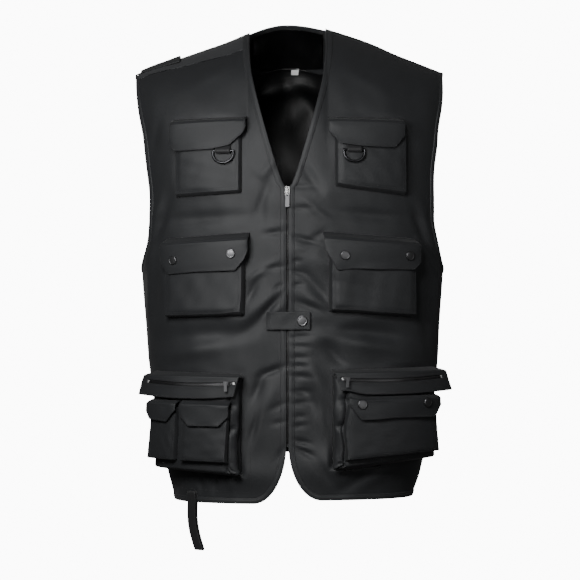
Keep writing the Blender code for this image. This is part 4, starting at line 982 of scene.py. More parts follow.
def fronts():
    """The two fronts of the vest, with closer rows near the shoulder."""
    near = FRONT_EDGE * np.linspace(0, 1, 14)[:-1] ** 2
    middle = np.linspace(FRONT_EDGE, 1 - FRONT_EDGE, 215)
    downs = np.concatenate((near, middle, np.linspace(1 - FRONT_EDGE, 1, 10)[1:]))
    for side in SIDES:
        patch("cloth_front_" + side, lambda u, v, side=side: front_place(side, u, 1 - v), spaced(125, 0.01),
              1 - downs[::-1], CLOTH, "twill", ["front_" + side])


def back_place(u, down):
    """Places on the back panel: u across as seen from behind, down from its top edge to its hem."""
    inset = BAND_WIDTH - BAND_OVERLAP
    edges = []
    for side in ("right", "left"):
        x = SIGN[side] * SHOULDER_HALF + 0 * u
        for _ in range(4):
            z = lerp(ridge_height(x), hem_height(SIGN[side]) + inset, down)
            turn = side_edge(side, z, True, inset)
            x = body_point(turn, z, False)[..., 0]
        edges.append(turn if side == "right" else turn + 4)
    away = 2 * u - 1
    turn = lerp(edges[0], edges[1], 0.5 + 0.5 * away * lerp(BACK_EVENNESS, 1, away ** 2))
    x = body_point(turn, -BODY_LENGTH * 0.3, False)[..., 0]
    for _ in range(3):
        beside = np.clip((NECK_HALF + BAND_WIDTH * 0.5 - np.abs(x)) / BAND_WIDTH, 0, 1)
        top = back_neck_height(x) - inset * beside
        flat = np.where(turn <= 2, turn, turn - 4)
        z = lerp(top, hem_height(flat) + inset, down)
        x = body_point(turn, z, False)[..., 0]
    return body_point(turn, z)


def rear_place(x, z):
    """Places on the back of the body by their way across and up, in metres."""
    turn = turn_at(x, z)
    return body_point(np.where(turn >= 0, 2 - turn, -2 - turn), z, False)


def back():
    """The back panel, and inside it the neck facing, the lining and the blank label."""
    patch("cloth_back", lambda u, v: back_place(u, 1 - v), spaced(108, 0.01), spaced(130, 0.01), CLOTH,
          "twill", ["back_panel"])

    def facing(u, v):
        x = (NECK_HALF - BAND_WIDTH * 0.2) * (1 - 2 * u)
        return rear_place(x, lerp(-FACING_DEPTH, back_neck_height(x) - BAND_WIDTH * 0.4, v))

    def lining(u, v):
        return back_place(lerp(*LINING_ACROSS, u), lerp(*LINING_DOWN, v))

    def folds(spot):
        return bumps(LINING_CREASES, spot[..., 0] / HALF_WIDTH, spot[..., 2], 1)

    def hung(u, v):
        drape = np.abs(wave(LINING_SWELL, u, v) + wave(LINING_RUMPLE, u, v)) + folds(lining(u, v))
        return raised(lining, u, v, -LINING_HANG - drape * ramp(1 - v, 0, LINING_START))

    def pressed(u, v):
        return raised(facing, u, v, -FACING_HANG - folds(facing(u, v)) * np.sin(np.pi * v))

    patch("cloth_facing", pressed, spaced(60, 0.02), spaced(40, 0.04), LINING_CLOTH, "lining",
          ["neck_facing"])
    patch("cloth_lining", hung, spaced(80, 0.01), spaced(90, 0.01), LINING_CLOTH, "lining", ["back_lining"])

    def label(u, v):
        z = LABEL_TUCK - FACING_DEPTH - LABEL_HEIGHT * (1 - v)
        return rear_place(LABEL_OFFSET + LABEL_WIDTH * (0.5 - u), z)

    def curled(u, v):
        return raised(label, u, v, -FACING_HANG - LINING_CLOTH - LABEL_GAP - LABEL_CURL * (1 - v) ** 0.7)

    patch("blank_label", curled, spaced(14, 0.05), spaced(14, 0.05), LINING_CLOTH / 2, "label",
          ["neck_label"])


def yoke_surface(u, v):
    """Places on the forward part of the shoulder, viewer's left."""
    inset = BAND_WIDTH - BAND_OVERLAP
    share = (1 - v) ** 1.6
    inner = -opening_edge(0 * u, inset)
    z_tip = ridge_height(-SHOULDER_HALF + 0 * u) - YOKE_DROP_TIP * share
    outer = body_point(side_edge("left", z_tip, False, inset), z_tip, False)[..., 0]
    x = lerp(outer, inner, u)
    z = ridge_height(x) - yoke_drop(x) * share
    return body_point(turn_at(x, z), z)


def shoulder():
    """The yoke and the tab that lies along the shoulder over it."""
    def yoke(u, v):
        return raised(yoke_surface, u, np.clip(v, 0.004, 0.996), YOKE_RISE + 0 * u)

    piece = patch("cloth_yoke", yoke, spaced(70, 0.02), spaced(28, 0.06), CLOTH, "binding", ["shoulder_yoke"])
    # The yoke gets the lighter copy of the cloth: painted light for the sheen it catches.
    piece.data.materials[0] = material("yoke")
    us = np.linspace(0.03, 0.97, 60)
    stitch(yoke, us, YOKE_STITCH)
    outer = -SHOULDER_HALF + TAB_INSET

    def under(u, v):
        x = lerp(outer, outer + TAB_LENGTH, u)
        across = 2 * v - 1
        z = ridge_height(x) - lerp(TAB_DROP_TIP, TAB_DROP_NECK, u) * across ** 2
        turn = turn_at(x, z)
        return body_point(np.where(across <= 0, turn, -2 - turn), z, False)

    def tab(u, v):
        return raised(under, u, v, FLAP_CLOTH + TAB_RISE + TAB_LIFT * ramp(u, 0.5, 1.0))

    patch("cloth_shoulder_tab", tab, spaced(60, 0.04), spaced(40, 0.06), FLAP_CLOTH, "twill",
          ["shoulder_tab"])
    for v in (TAB_STITCH, 1 - TAB_STITCH):
        stitch(tab, us, v)


def ribbon(name, node, outer, inner, gathers):
    """A rounded band between two paths of turns and heights, with a groove near each edge."""
    outer, inner = (np.stack(path, -1) for path in (outer, inner))
    count = len(outer) - 1
    run = run_along(body_point(*outer.T, False))

    def place(u, v):
        i = np.minimum((np.clip(v, 0, 1) * count).astype(int), count - 1)
        share = (v * count - i)[..., None]
        ends = [lerp(path[i], path[i + 1], share) for path in (outer, inner)]
        spot = lerp(ends[0], ends[1], u[..., None])
        return body_point(spot[..., 0], spot[..., 1])

    def surface(u, v):
        along = np.interp(v * count, np.arange(count + 1), run)
        crown = BAND_CROWN * np.sin(np.pi * np.clip(u, 0, 1))
        groove = BAND_GROOVE * hill(np.abs(u - 0.5) - BAND_GROOVE_PLACE, BAND_GROOVE_WIDTH)
        ripple = gathers * (0.5 + wave(BAND_GATHER, along, u))
        return raised(place, u, v, BAND_PROUD + crown - groove + ripple, 0.002)

    vs = np.linspace(0, 1, min(int(run[-1] / BAND_STEP), 700))
    patch(name, surface, spaced(18, 0.12), vs, BAND_THICKNESS, "binding", [node], BAND_ROUND)
    return surface


def front_edge_path(side, inset):
    """Turns and heights along the front edge: down the neck and zip, round the corner, along the hem."""
    sign = SIGN[side]
    top = float(ridge_height(np.array(sign * (NECK_HALF + inset))))
    z = np.concatenate((np.linspace(top, -OPENING_DROP, 90), np.linspace(-OPENING_DROP, CORNER_TOP, 130)[1:]))
    turns = turn_at(sign * opening_edge(z, inset), z)
    angle = np.linspace(0, np.pi / 2, 50)[1:]
    x = sign * (FRONT_GAP / 2 + inset + (CORNER_WIDTH - inset) * (1 - np.cos(angle)))
    low = CORNER_TOP - (CORNER_HEIGHT + hem_sag(side) - inset) * np.sin(angle)
    corner = turn_at(x, low)
    hem = np.linspace(corner[-1], sign * (1 + SEAM_LAP), 90)[1:]
    bottom = 0 * hem - BODY_LENGTH - hem_sag(side) + inset
    return np.concatenate((turns, corner, hem)), np.concatenate((z, low, bottom))


def shoulder_seams():
    """The felled seam along each shoulder's ridge, which turns down over the armhole's band at its tip."""
    for side in SIDES:
        turns, heights = armhole_path(side, 0)
        tip = abs(body_point(turns[0], heights[0], False)[0]) + SEAM_RISE

        def surface(u, v, side=side, tip=tip):
            along = u if side == "right" else 1 - u
            x = SIGN[side] * lerp(NECK_HALF - 0.001, tip, np.minimum(along / SEAM_END, 1))
            z = ridge_height(x) + SEAM_RISE - BAND_WIDTH * 0.7 * ramp(along, SEAM_BEND, 1.0)
            return np.stack((x, SHOULDER_SEAM * (v - 0.5), z), -1)

        us = stepped((0.08, 11), (0.92, 59), (1, 11))
        patch("seam_shoulder_" + side, surface, us, spaced(14, 0.1), CLOTH, "twill")


def bindings():
    """The bands that edge the fronts, the back neck, the back hem and the armholes."""
    vs = np.linspace(0.004, 0.996, 900)
    for side in SIDES:
        for kind, edge, gathers in (("front", front_edge_path, 0.0005), ("armhole", armhole_path, 0.0006)):
            outer, inner = (tuple(part[::-1] for part in edge(side, inset)) for inset in (0, BAND_WIDTH))
            inner_first = (side == "left") == (kind == "front")
            pair = (inner, outer) if inner_first else (outer, inner)
            surface = ribbon("band_%s_%s" % (kind, side), "%s_binding_%s" % (kind, side), *pair, gathers)
            stitch(surface, BAND_STITCH if inner_first else 1 - BAND_STITCH, vs)

    def neck(u, v):
        x = (NECK_HALF + BAND_WIDTH * 0.35) * (1 - 2 * u)
        return rear_place(x, back_neck_height(x) - BAND_WIDTH * (1 - v) - 0.0004)

    def crowned(u, v):
        return raised(neck, u, v, BAND_PROUD + BAND_CROWN * np.sin(np.pi * v), 0.003)

    patch("band_neck", crowned, spaced(110, 0.02), spaced(18, 0.12), BAND_THICKNESS, "binding",
          ["neck_binding"], BAND_ROUND)
    turns = np.linspace(1.0005, 2.9995, 200)
    low = hem_height(np.where(turns <= 2, turns, turns - 4))
    ribbon("band_back_hem", "back_hem_binding", (turns, low + BAND_WIDTH), (turns, low), 0.0005)


def centre_place(x, z):
    """Places on the body by their way across and up, in metres."""
    return body_point(turn_at(x, z), z)


def smooth_place(x, z):
    """The same places without the fine creases."""
    return body_point(turn_at(x, z), z, False)


def boxes(name, centres, axes, size, finish, replaced=()):
    """Many small blocks as one piece: centres, three axes for each, and one size."""
    level, outward, upward = axes
    corners = [centres + level * a * size[0] / 2 + outward * b * size[1] / 2 + upward * c * size[2] / 2
               for a in (-1, 1) for b in (-1, 1) for c in (-1, 1)]
    vertices = np.stack(corners, 1).reshape(-1, 3)
    block = np.array([(0, 1, 3, 2), (4, 6, 7, 5), (0, 4, 5, 1), (2, 3, 7, 6), (0, 2, 6, 4), (1, 5, 7, 3)])
    faces = (np.arange(len(centres)) * 8)[:, None, None] + block[None]
    piece = add_piece(name, vertices, faces.reshape(-1, 4).tolist(), finish, replaced)
    piece.data.shade_flat()
    return piece


def tooth_rows(name, surface, ends, behind, finish, replaced, pitch=TOOTH_PITCH, length=TOOTH_LENGTH):
    """Two rows of interlocking zip teeth along a line of a surface, from one end to the other."""
    line = np.linspace(0, 1, 400)
    u, v = (lerp(ends[0][k], ends[1][k], line) for k in (0, 1))
    path = surface(u, v)
    run = run_along(path)
    at = np.arange(0.5, int(run[-1] / pitch)) * pitch
    spots = np.stack([np.interp(at, run, path[:, k]) for k in range(3)], -1)
    along = unit(np.gradient(spots, axis=0))
    outward = outward_of(surface, np.interp(at, run, u), np.interp(at, run, v), 0.002)
    side = unit(np.cross(along, outward))
    shift = np.where(np.arange(len(at)) % 2, 1, -1)[:, None] * length * TOOTH_STAGGER
    centres = spots + side * shift - outward * behind
    boxes(name, centres, (side, outward, along), (length, TOOTH_THICKNESS, TOOTH_HEIGHT), finish, replaced)


def front_seams():
    """Stitched lines on the fronts: beside the pockets' gussets, and round the patch above the hem."""
    line = np.linspace(0, 1, 50)
    for seam in SEAMS:
        stitch(centre_place, HALF_WIDTH * lerp(seam.across, seam.to_across, line),
               -BODY_LENGTH * lerp(seam.drop, seam.to_drop, line))


def main_zip():
    """The zip between the fronts: tapes behind, teeth, and the model's metal pieces with rounded edges."""
    def tape(u, v):
        x, z = lerp(-TAPE_WIDTH, TAPE_WIDTH, u), lerp(CORNER_TOP, -OPENING_DROP, v)
        return raised(smooth_place, x, z, 0 * u - TAPE_DEPTH, 0.002)

    patch("zip_tapes", tape, spaced(16, 0.05), spaced(160, 0.002), LINING_CLOTH, "zip",
          ["zip_tape_left", "zip_tape_right"])

    def line(u, v):
        return centre_place(u * 0.01, v)

    ends = ((0, CORNER_TOP), (0, -OPENING_DROP - 0.004))
    tooth_rows("zip_teeth", line, ends, CHAIN_DEPTH, "zip", ["zip_chain"])
    for name in ("zip_slider", "zip_stop_left", "zip_stop_right"):
        soften(name, 0.00025, "nickel")
    for name in ("zip_pull", "hood_pull_left", "hood_pull_right", "zip_retainer", "hood_slider_left",
                 "hood_slider_right"):
        soften(name, 0.00020, "gunmetal")


def soften(node, radius, finish):
    """Round the edges of a metal node and give it its finish."""
    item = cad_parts[node]
    rounded = item.modifiers.new("rounded", "BEVEL")
    rounded.width = radius
    rounded.segments = 2
    rounded.limit_method = "ANGLE"
    for hold in item.material_slots:
        hold.material = material(finish)


def snap(name, node, spot, radius):
    """A snap's cap: a turned disc with a raised rim, a low ring and a slight dome."""
    centre, level, outward, upward = spot
    turns = np.linspace(0, 2 * np.pi, SNAP_SIDES + 1)[:-1]
    ring = np.cos(turns)[:, None] * level + np.sin(turns)[:, None] * upward
    rings = [centre + ring * radius * row.out + outward * SNAP_HEIGHT * row.up for row in SNAP_PROFILE[1:]]
    middle = centre + outward * SNAP_HEIGHT * SNAP_PROFILE[0].up
    index = 1 + np.arange(len(rings) * SNAP_SIDES).reshape(len(rings), SNAP_SIDES)
    index = np.concatenate((index, index[:, :1]), 1)
    faces = [[0, a, b] for a, b in zip(index[0].tolist(), index[0, 1:].tolist())]
    faces += grid_faces(index)[:, (0, 3, 2, 1)].tolist()
    add_piece(name, np.concatenate((middle[None], *rings)), faces, "gunmetal", [node])


def patch_place(row):
    """The surface under a pocket, as a function of the ways across and up it."""
    def place(u, v):
        drop = lerp(lerp(row.bottom_left, row.bottom_right, u), lerp(row.top_left, row.top_right, u), v)
        return smooth_place(HALF_WIDTH * lerp(row.left, row.right, u), -BODY_LENGTH * drop)

    return place


def lid_place(row, height):
    """The surface under a flap whose height is in metres, with its top along the row's top line."""
    def place(u, v):
        z = -BODY_LENGTH * lerp(row.top_left, row.top_right, u) - height * (1 - v)
        return smooth_place(HALF_WIDTH * lerp(row.left, row.right, u), z)

    return place


def face_height(depth, up):
    """How far out a pocket's face is at a share of its height: less at the mouth."""
    return depth * lerp(1, MOUTH_FULLNESS, up)


def gusset_folds(beside, v, seed):
    """How deep a cargo pocket's inner side folds: one long groove, two pinches and a crumpled corner."""
    groove = GROOVE_DEPTH * hill(beside - GROOVE_PLACE - wave(GROOVE_WAVER, v, v, seed), GROOVE_WIDTH)
    pinch = sum(PINCH_DEPTH * hill(v - level, PINCH_SPREAD) for level in GUSSET_PINCHES)
    crumple = np.abs(wave(GUSSET_CRUMPLE, beside, v, seed)) * hill(v, CRUMPLE_REACH)
    return groove * ramp(v, 0.02, 0.10) + (pinch + crumple) * hill(beside - 0.001, GUSSET_REACH)


def bag(name, node, place, size, depth, wall, seed, pleat=0.0, soft=0.0012, inner=0):
    """A pocket: a sewn rim, steep walls, with a pleat where it is deep, and a face that fills below."""
    width, height = size
    foot = wall * FOOT_WIDER

    def surface(u, v):
        across, up = np.minimum(u, 1 - u) * width, v * height
        in_side, in_foot = np.clip(across / wall, 0, 1), np.clip(up / foot, 0, 1)
        corner = 1 - np.sqrt(np.clip((1 - in_side) ** 2 + (1 - in_foot) ** 2, 0, 1))
        lift = np.sin(corner * np.pi / 2) ** WALL_POWER
        inside = ramp(across, wall, wall * FACE_START) * ramp(up, wall, wall * FACE_START)
        pillow = soft * (inside * (1 + wave(BAG_SWELL, u, v, seed)) + wave(BAG_RUMPLE, u, v, seed))
        high = face_height(depth, v) * (1 - MOUTH_SINK * ramp(v, MOUTH_START, 1.0))
        crest = CREST_RISE * hill(corner - CREST_PLACE, 0.10)
        out = SEWN_GAP + lift * high + pillow * ramp(lift, 0.4, 1.0) + crest
        if inner:
            beside = (u if inner > 0 else 1 - u) * width - wall
            out = out - gusset_folds(beside, v, seed) * ramp(beside, -0.006, 0.0)
        spot = raised(place, u, v, out)
        if pleat:
            way = unit(place(u + 0.004, v) - place(u - 0.004, v))
            fold = pleat * np.sin(lift * np.pi * 2) * (1 - ramp(corner, 0.9, 1.0))
            fold = fold * (1 + PLEAT_WAVER * wander(v * 6 + u, u, seed + 2) + PLEAT_FOOT * hill(v, 0.12))
            fold = fold * np.where(u < 0.5, 1, -1) * ramp(across, -0.001, wall * 0.4)
            spot = spot + way * fold[..., None]
        return spot

    edge, low = wall / width, foot / height
    near = stepped((edge, 17), (2 * edge, 6))[:-1]
    us = np.concatenate((near, np.linspace(2 * edge, 1 - 2 * edge, 36)[:-1], 1 - near[::-1]))
    patch(name, surface, us, stepped((low, 16), (2 * low, 6), (1, 35)), BAG_CLOTH, "twill", [node])
    in_u, in_v = (wall * 1.25 + STITCH_INSET) / width, (wall * 1.45 + STITCH_INSET) / height
    line = np.linspace(0, 1, 60)
    stitch(surface, lerp(in_u, 1 - in_u, line), in_v)
    for u in (in_u, 1 - in_u):
        stitch(surface, u, lerp(in_v, 0.84, line))


def lid(name, node, place, width, height, edge, full, seed, root=ROOT_GAP, band=FLAP_BAND):
    """A flap: sewn in a narrow band along its top, then out over its pocket and down to its lower edge."""
    def low_at(u):
        return sum(read(edge, "down", u + k * LID_CORNER, curved=False) for k in (-1, 0, 1)) / 3

    def surface(u, v):
        down = (1 - v) * low_at(u)
        metres = down * height
        ends = np.minimum(u, 1 - u) * width
        lift = ramp(metres, 0.0005, band * 1.15) ** WALL_POWER
        droop = 1 - LID_DROOP * np.exp(-ends / LID_DROOP_REACH)
        soft = wave(LID_SWELL, u, v, seed) * ramp(metres, band, band * 2)
        curl = wave(LID_CURL, u, v, seed) * ramp((1 - v), 0.75, 1.0)
        seam = LID_SEAM_DEPTH * hill(metres - band, LID_SEAM_WIDTH)
        return raised(place, u, 1 - down, lerp(root, full + soft + curl, lift * droop) - seam)

    vs = stepped((0.12, 10), (0.70, 19), (1, 25))
    patch(name, surface, spaced(78, 0.03), vs, FLAP_CLOTH, "twill", [node], FLAP_ROUND)
    line = np.linspace(0, 1, 80)
    inset = STITCH_INSET / width
    across = lerp(inset, 1 - inset, line)
    tall = height * np.maximum(low_at(across), 0.2)
    stitch(surface, across, STITCH_INSET / tall)
    stitch(surface, across, 1 - (band - 0.0020) / tall)
    for end in (inset, 1 - inset):
        stitch(surface, end, lerp(0.10, 1 - band / (height * low_at(np.array(end))), line))
    return surface


def flap_seat(surface, edge, across, down):
    """Where a snap sits on a flap: its way across, and how far down as a share of the flap's height."""
    low = float(read(edge, "down", np.array(across), curved=False))
    return seat(surface, across, 1 - down / low, SNAP_SEAT)


def lowered(row):
    """A pocket's own patch: its mouth is lower than the flap's top."""
    drop = MOUTH_DROP / BODY_LENGTH
    return row._replace(top_left=row.top_left + drop, top_right=row.top_right + drop)


def patch_size(row):
    """A patch's width and height in metres, with the width measured round the body."""
    return ((row.right - row.left) * HALF_WIDTH * ROUND_BODY,
            (row.bottom_left + row.bottom_right - row.top_left - row.top_right) / 2 * BODY_LENGTH)


def chest_pockets():
    """The two chest pockets with their flaps, D-rings and webbing loops."""
    for seed, side in enumerate(SIDES):
        row = lowered(CHEST_BAGS[side])
        bag("bag_chest_" + side, "chest_pocket_" + side, patch_place(row), patch_size(row), CHEST_DEPTH,
            0.0040, 60 + seed)
        place = lid_place(CHEST_LIDS[side], CHEST_FLAP_HEIGHT)
        full = SEWN_GAP + CHEST_DEPTH + CHEST_FLAP_CLEARANCE + FLAP_CLOTH
        wide = patch_size(CHEST_LIDS[side])[0]
        lid("flap_chest_" + side, "chest_flap_" + side, place, wide, CHEST_FLAP_HEIGHT,
            LID_EDGES["chest_" + side], full, 70 + seed)
        d_ring(side, place)


def d_ring(side, place):
    """A D-ring on its straight bar, in a webbing loop whose tail goes up under the flap."""
    low = float(read(LID_EDGES["chest_" + side], "down", np.array(RING_PLACE[side]), curved=False))
    wire = RING_WIRE / 2
    outer = wire + RING_SLACK + WEBBING
    level = 1 - low - RING_BELOW_FLAP / CHEST_FLAP_HEIGHT
    face = 0.0015 + face_height(CHEST_DEPTH, RING_LEVEL)
    centre, right, outward, upward = seat(place, RING_PLACE[side], level, face + 0.0006 + outer)
    lean = radians(RING_LEAN)
    hang = upward * np.cos(lean) - outward * np.sin(lean)
    half, deep = RING_WIDTH / 2 - wire, RING_HEIGHT - 2 * wire
    angle = np.linspace(0, np.pi, 49)
    bow = np.stack((half * np.cos(angle), -deep * np.sin(angle) ** RING_BOW), -1)
    bar = np.stack((np.linspace(-half, half, 14)[1:-1], np.zeros(12)), -1)
    path = np.concatenate((bow, bar))
    spots = centre + path[:, :1] * right + path[:, 1:] * hang
    along = unit(np.roll(spots, -1, 0) - np.roll(spots, 1, 0))
    facing = unit(np.cross(right, hang))
    side_way = unit(np.cross(along, facing))
    turns = np.linspace(0, 2 * np.pi, WIRE_SIDES + 1)[:-1]
    rings = spots[:, None] + wire * (np.cos(turns)[None, :, None] * side_way[:, None]
                                     + np.sin(turns)[None, :, None] * facing)
    index = np.arange(len(spots) * WIRE_SIDES).reshape(len(spots), WIRE_SIDES)
    index = np.pad(index, ((0, 1), (0, 1)), mode="wrap")
    piece = add_piece("ring_" + side, rings.reshape(-1, 3), grid_faces(index).tolist(), "gunmetal",
                      ["d_ring_" + side], "d_ring_" + side)
    piece.data.materials[0] = material("dark_ring")
    start = outer * 1.3
    tail = outer - 2 * WEBBING - RING_SLACK
    loop = [(outer, start + WEBBING_TAIL), (outer, start), (outer, 0)]
    loop += [(outer * np.cos(a), -outer * np.sin(a)) for a in np.linspace(0, np.pi, 17)[1:-1]]
    loop += [(-outer, 0), (-outer * 0.72, outer * 0.75), (tail, start), (tail, start + WEBBING_TAIL)]
    loop = np.array(loop)[::-1]
    us = np.linspace(-0.5, 0.5, 14)[None, :, None]
    points = centre + us * WEBBING_WIDTH * right - loop[:, :1, None] * outward + loop[:, 1:, None] * upward
    shell("webbing_" + side, points, WEBBING, "webbing", ["ring_loop_" + side])


def waist_pockets():
    """The two pockets at the waist, with their flaps and snaps."""
    for seed, side in enumerate(SIDES):
        row = lowered(WAIST_BAGS[side])
        bag("bag_waist_" + side, "waist_pocket_" + side, patch_place(row), patch_size(row), WAIST_DEPTH,
            0.0042, 80 + seed, soft=0.0016)
        full = SEWN_GAP + WAIST_DEPTH + FLAP_CLEARANCE + FLAP_CLOTH
        edge = LID_EDGES["waist_" + side]
        place = lid_place(WAIST_LIDS[side], WAIST_FLAP_HEIGHT)
        wide = patch_size(WAIST_LIDS[side])[0]
        surface = lid("flap_waist_" + side, "waist_flap_" + side, place, wide, WAIST_FLAP_HEIGHT, edge, full,
                      90 + seed)
        for mark, end in zip([mark for mark in WAIST_SNAPS if mark.lid == side], ("a", "b")):
            snap("cap_waist_%s_%s" % (side, end), "waist_snap_%s_%s" % (side, end),
                 flap_seat(surface, edge, mark.across, mark.down), SNAP_RADIUS)


def waist_tab():
    """The tab across the zip at the waist, with its stitched square and snap."""
    left = -WAIST_TAB_WIDTH / 2 + WAIST_TAB_OFFSET
    high = BAND_PROUD + 0.0010 + FLAP_CLOTH

    def place(u, v):
        z = -WAIST_TAB_DROP - WAIST_TAB_HEIGHT * (1 - v)
        return smooth_place(lerp(left, left + WAIST_TAB_WIDTH, u), z)

    def surface(u, v):
        return raised(place, u, v, high + wave(TAB_SWELL, u, v) + 0.0008 * ramp(np.abs(u - 0.45), 0.35, 0.5))

    patch("cloth_waist_tab", surface, spaced(80, 0.04), spaced(40, 0.08), FLAP_CLOTH, "twill", ["waist_tab"],
          FLAP_ROUND)
    line = np.linspace(0, 1, 60)
    inset_u, inset_v = STITCH_INSET / WAIST_TAB_WIDTH, STITCH_INSET / WAIST_TAB_HEIGHT
    for v in (inset_v, 1 - inset_v):
        stitch(surface, lerp(inset_u, 1 - inset_u, line), v)
    for u in (inset_u, 1 - TAB_SQUARE / WAIST_TAB_WIDTH, 1 - inset_u):
        stitch(surface, u, lerp(inset_v, 1 - inset_v, line))
    across = 1 - TAB_SNAP_INSET / WAIST_TAB_WIDTH
    snap("cap_waist_tab", "waist_tab_snap", seat(surface, across, 0.5, SNAP_SEAT), TAB_SNAP_RADIUS)


def cargo_pockets():
    """The two cargo pockets: a deep pleated bag, a hood with a zip, and small pockets on the bag's face."""
    for seed, side in enumerate(SIDES):
        row = lowered(CARGO_BAGS[side])
        bag("bag_cargo_" + side, "cargo_pocket_" + side, patch_place(row), patch_size(row), CARGO_DEPTH,
            0.0085, 100 + seed, pleat=0.0032, soft=0.0014, inner=SIGN[side])
        hood(side, CARGO_BAGS[side], 110 + seed)
    small_pockets()


def hood(side, row, seed):
    """The hood over a cargo pocket: out from the body, then down in front of its mouth, with its zip."""
    over = HOOD_OVERHANG / HALF_WIDTH
    grow = (over, over * 0.25) if side == "left" else (over * 0.25, over)
    wide_row = row._replace(left=row.left - grow[0], right=row.right + grow[1])
    place = lid_place(wide_row, HOOD_HEIGHT)
    width = (wide_row.right - wide_row.left) * HALF_WIDTH * HOOD_ROUND_BODY
    full = 0.0015 + CARGO_DEPTH + 0.0010 + FLAP_CLOTH
    ends = HOOD_ZIP_ENDS[side]

    def zip_up(u):
        share = (u - ends[0]) / (ends[1] - ends[0])
        return HOOD_ZIP_LEVEL - HOOD_ZIP_SAG * (1 - (2 * np.clip(share, 0, 1) - 1) ** 2) / HOOD_HEIGHT

    def slit(u, up):
        """1 inside the zip's slit and 0 outside it."""
        along = ramp(u, ends[0] - 0.008, ends[0] + 0.004) * (1 - ramp(u, ends[1] - 0.004, ends[1] + 0.008))
        gap = np.abs(up - zip_up(u)) * HOOD_HEIGHT
        return along * (1 - ramp(gap, HOOD_ZIP_HEIGHT * 0.36, HOOD_ZIP_HEIGHT * 0.60))

    def smile(u):
        return 1 + HOOD_SMILE * (1 - (2 * u - 1) ** 2)

    def softness(u, down):
        return wave(HOOD_SWELL, u, 1 - down / smile(u), seed)

    def skewed(spot, down):
        spot[..., 0] += SIGN[side] * HOOD_SKEW * down * ramp(down * HOOD_HEIGHT, 0.001, 0.006)
        return spot

    def surface(u, v):
        down = (1 - v) * smile(u)
        metres = down * HOOD_HEIGHT
        lift = ramp(metres, *HOOD_TURN)
        soft = softness(u, down) * ramp(metres, 0.004, 0.012)
        lip = HOOD_LIP * hill((1 - down - zip_up(u)) * HOOD_HEIGHT, HOOD_LIP_SPREAD)
        high = lerp(HOOD_ROOT, full + soft, lift) + lip - HOOD_SLIT * slit(u, 1 - down)
        return skewed(raised(place, u, 1 - down, high), down)

    vs = stepped((0.10, 8), (0.78, 61), (1, 21))
    patch("hood_" + side, surface, spaced(120, 0.02), vs, FLAP_CLOTH, "twill", ["cargo_hood_" + side],
          FLAP_ROUND)
    line = np.linspace(0, 1, 90)
    stitch(surface, lerp(STITCH_INSET / width, 1 - STITCH_INSET / width, line), STITCH_INSET / HOOD_HEIGHT)
    u = lerp(ends[0], ends[1], line)
    for shift in (-0.0050, 0.0050):
        stitch(surface, u, 1 - (1 - zip_up(u) + shift / HOOD_HEIGHT) / smile(u))

    def tape(u, v):
        across = lerp(ends[0] - 0.004, ends[1] + 0.004, u)
        up = zip_up(across) + (v - 0.5) * HOOD_ZIP_HEIGHT * 1.1 / HOOD_HEIGHT
        return skewed(raised(place, across, up, full - HOOD_TAPE_SINK + softness(across, 1 - up)), 1 - up)

    patch("hood_tape_" + side, tape, spaced(90, 0.01), spaced(14, 0.1), 0.0006, "zip", ["hood_zip_" + side])
    tooth_rows("hood_teeth_" + side, tape, ((0.01, 0.5), (0.99, 0.5)), -HOOD_TOOTH_RISE, "gunmetal", [],
               HOOD_TOOTH_PITCH, HOOD_TOOTH_LENGTH)
    spots, *axes = (np.stack(rows) for rows in zip(*(seat(tape, u, 0.5, 0.0006) for u in HOOD_STOPS)))
    piece = boxes("hood_stops_" + side, spots, axes, HOOD_STOP_SIZE, "nickel")
    # The end stops take the near-white finish: painted glint on light metal.
    piece.data.materials[0] = material("bright_stop")


def small_pockets():
    """The small pockets on the faces of the cargo pockets, with their flaps and snaps."""
    for seed, mark in enumerate(SMALL_BAGS):
        row = lowered(CARGO_BAGS[mark.side])
        long, high = patch_size(row)
        under = patch_place(row)

        def face(u, up, under=under):
            return raised(under, u, up, SEWN_GAP + face_height(CARGO_DEPTH, up))

        def place(u, v, mark=mark, face=face):
            bottom = lerp(mark.bottom_left, mark.bottom_right, u)
            return face(lerp(mark.left, mark.right, u), lerp(bottom, mark.top, v))

        def lid_spot(u, v, mark=mark, face=face, high=high):
            up = mark.lid_top - (1 - v) * SMALL_FLAP_HEIGHT / high
            return face(lerp(mark.left - SMALL_FLAP_OVER, mark.right + SMALL_FLAP_OVER, u), up)

        width = (mark.right - mark.left) * long
        height = (mark.top - (mark.bottom_left + mark.bottom_right) / 2) * high
        bag("bag_small_" + mark.name, "small_pocket_" + mark.name, place, (width, height), SMALL_DEPTH,
            0.0024, 120 + seed, soft=0.0009)
        full = 0.0015 + SMALL_DEPTH + FLAP_CLEARANCE + FLAP_CLOTH
        edge = LID_EDGES["small_" + mark.name]
        surface = lid("flap_small_" + mark.name, "small_flap_" + mark.name, lid_spot, width,
                      SMALL_FLAP_HEIGHT, edge, full, 130 + seed, root=0.0016, band=0.0050)
        for spot, end in zip([spot for spot in SMALL_SNAPS if spot.lid == mark.name], ("a", "b")):
            snap("cap_small_" + end, "small_snap_" + end, flap_seat(surface, edge, spot.across, spot.down),
                 SMALL_SNAP_RADIUS)


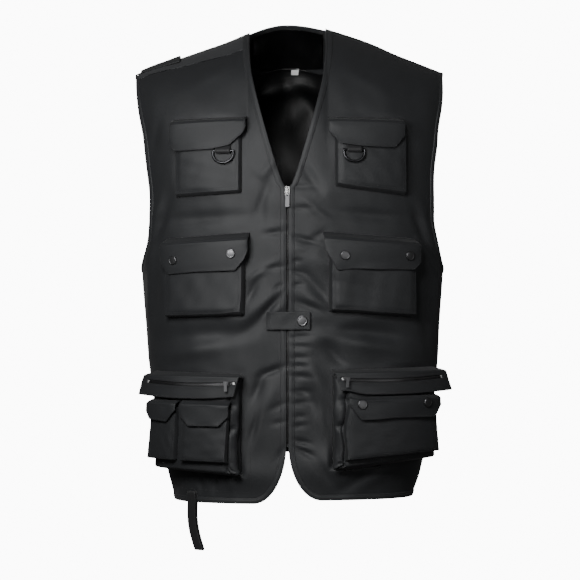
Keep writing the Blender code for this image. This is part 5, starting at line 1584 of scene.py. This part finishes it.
def hem_loop():
    """The doubled webbing strap that hangs from the hem on the viewer's left."""
    leg = HEM_LOOP_FOLD / 2 + HEM_LOOP_CLOTH
    across, top = -HEM_LOOP_PLACE * HALF_WIDTH, -BODY_LENGTH + HEM_LOOP_SEWN
    centre, right, outward, upward = seat(smooth_place, across, top, 0.0013 + leg)
    long = HEM_LOOP_LENGTH + HEM_LOOP_SEWN
    path = [(leg, -long * k / 30) for k in range(30)]
    path += [(leg * np.cos(a), -long + leg - leg * np.sin(a)) for a in np.linspace(0, np.pi, 15)]
    path += [(-leg, -long * k / 30) for k in range(29, -1, -1)]
    path = np.array(path)[::-1]
    swing = np.sin(np.clip((-path[:, 1] - HEM_LOOP_SEWN) / HEM_LOOP_LENGTH, 0, 1) * np.pi)
    across = np.linspace(-0.5, 0.5, 16)[None] * HEM_LOOP_WIDTH - HEM_LOOP_SLANT * swing[:, None]
    points = centre + across[..., None] * right - path[:, :1, None] * outward + path[:, 1:, None] * upward
    shell("strap_hem_loop", points, HEM_LOOP_CLOTH, "webbing", ["hem_loop"])


def lights():
    """Soft light from in front and above, weak light all round, and a white backdrop on every side."""
    world = bpy.data.worlds.new("studio")
    bpy.context.scene.world = world
    world.use_nodes = True
    fill(world.node_tree.nodes["Background"], {"Color": (1, 1, 1, 1), "Strength": WORLD_LIGHT})
    for lamp in LAMPS:
        data = bpy.data.lights.new(lamp.name, "AREA")
        data.size = lamp.size
        data.energy = lamp.power
        made = bpy.data.objects.new(lamp.name, data)
        made.location = (lamp.x, lamp.y, lamp.z)
        aim = Vector((0, 0, LAMP_AIM)) - made.location
        made.rotation_euler = aim.to_track_quat("-Z", "Y").to_euler()
        bpy.context.scene.collection.objects.link(made)
    white = bpy.data.materials.new("backdrop")
    white.use_nodes = True
    nodes = white.node_tree.nodes
    nodes.remove(nodes["Principled BSDF"])
    glow = fill(nodes.new("ShaderNodeEmission"), {"Strength": BACKDROP_LIGHT})
    white.node_tree.links.new(glow.outputs["Emission"], nodes["Material Output"].inputs["Surface"])
    bpy.ops.mesh.primitive_uv_sphere_add(radius=BACKDROP_RADIUS)
    backdrop = bpy.context.object
    backdrop.name = "backdrop"
    backdrop.data.materials.append(white)
    backdrop.visible_diffuse = backdrop.visible_glossy = backdrop.visible_shadow = False


def camera():
    """The photograph's camera: four metres away, level, straight on."""
    data = bpy.data.cameras.new("photo")
    data.lens_unit = "FOV"
    data.angle = radians(CAMERA_ANGLE)
    eye = bpy.data.objects.new("photo", data)
    eye.location = CAMERA_PLACE
    eye.rotation_euler = (radians(90), 0, 0)
    bpy.context.scene.collection.objects.link(eye)
    bpy.context.scene.camera = eye


camera()
lights()
fronts()
back()
shoulder()
shoulder_seams()
bindings()
front_seams()
main_zip()
waist_tab()
chest_pockets()
waist_pockets()
cargo_pockets()
hem_loop()
make_stitches()
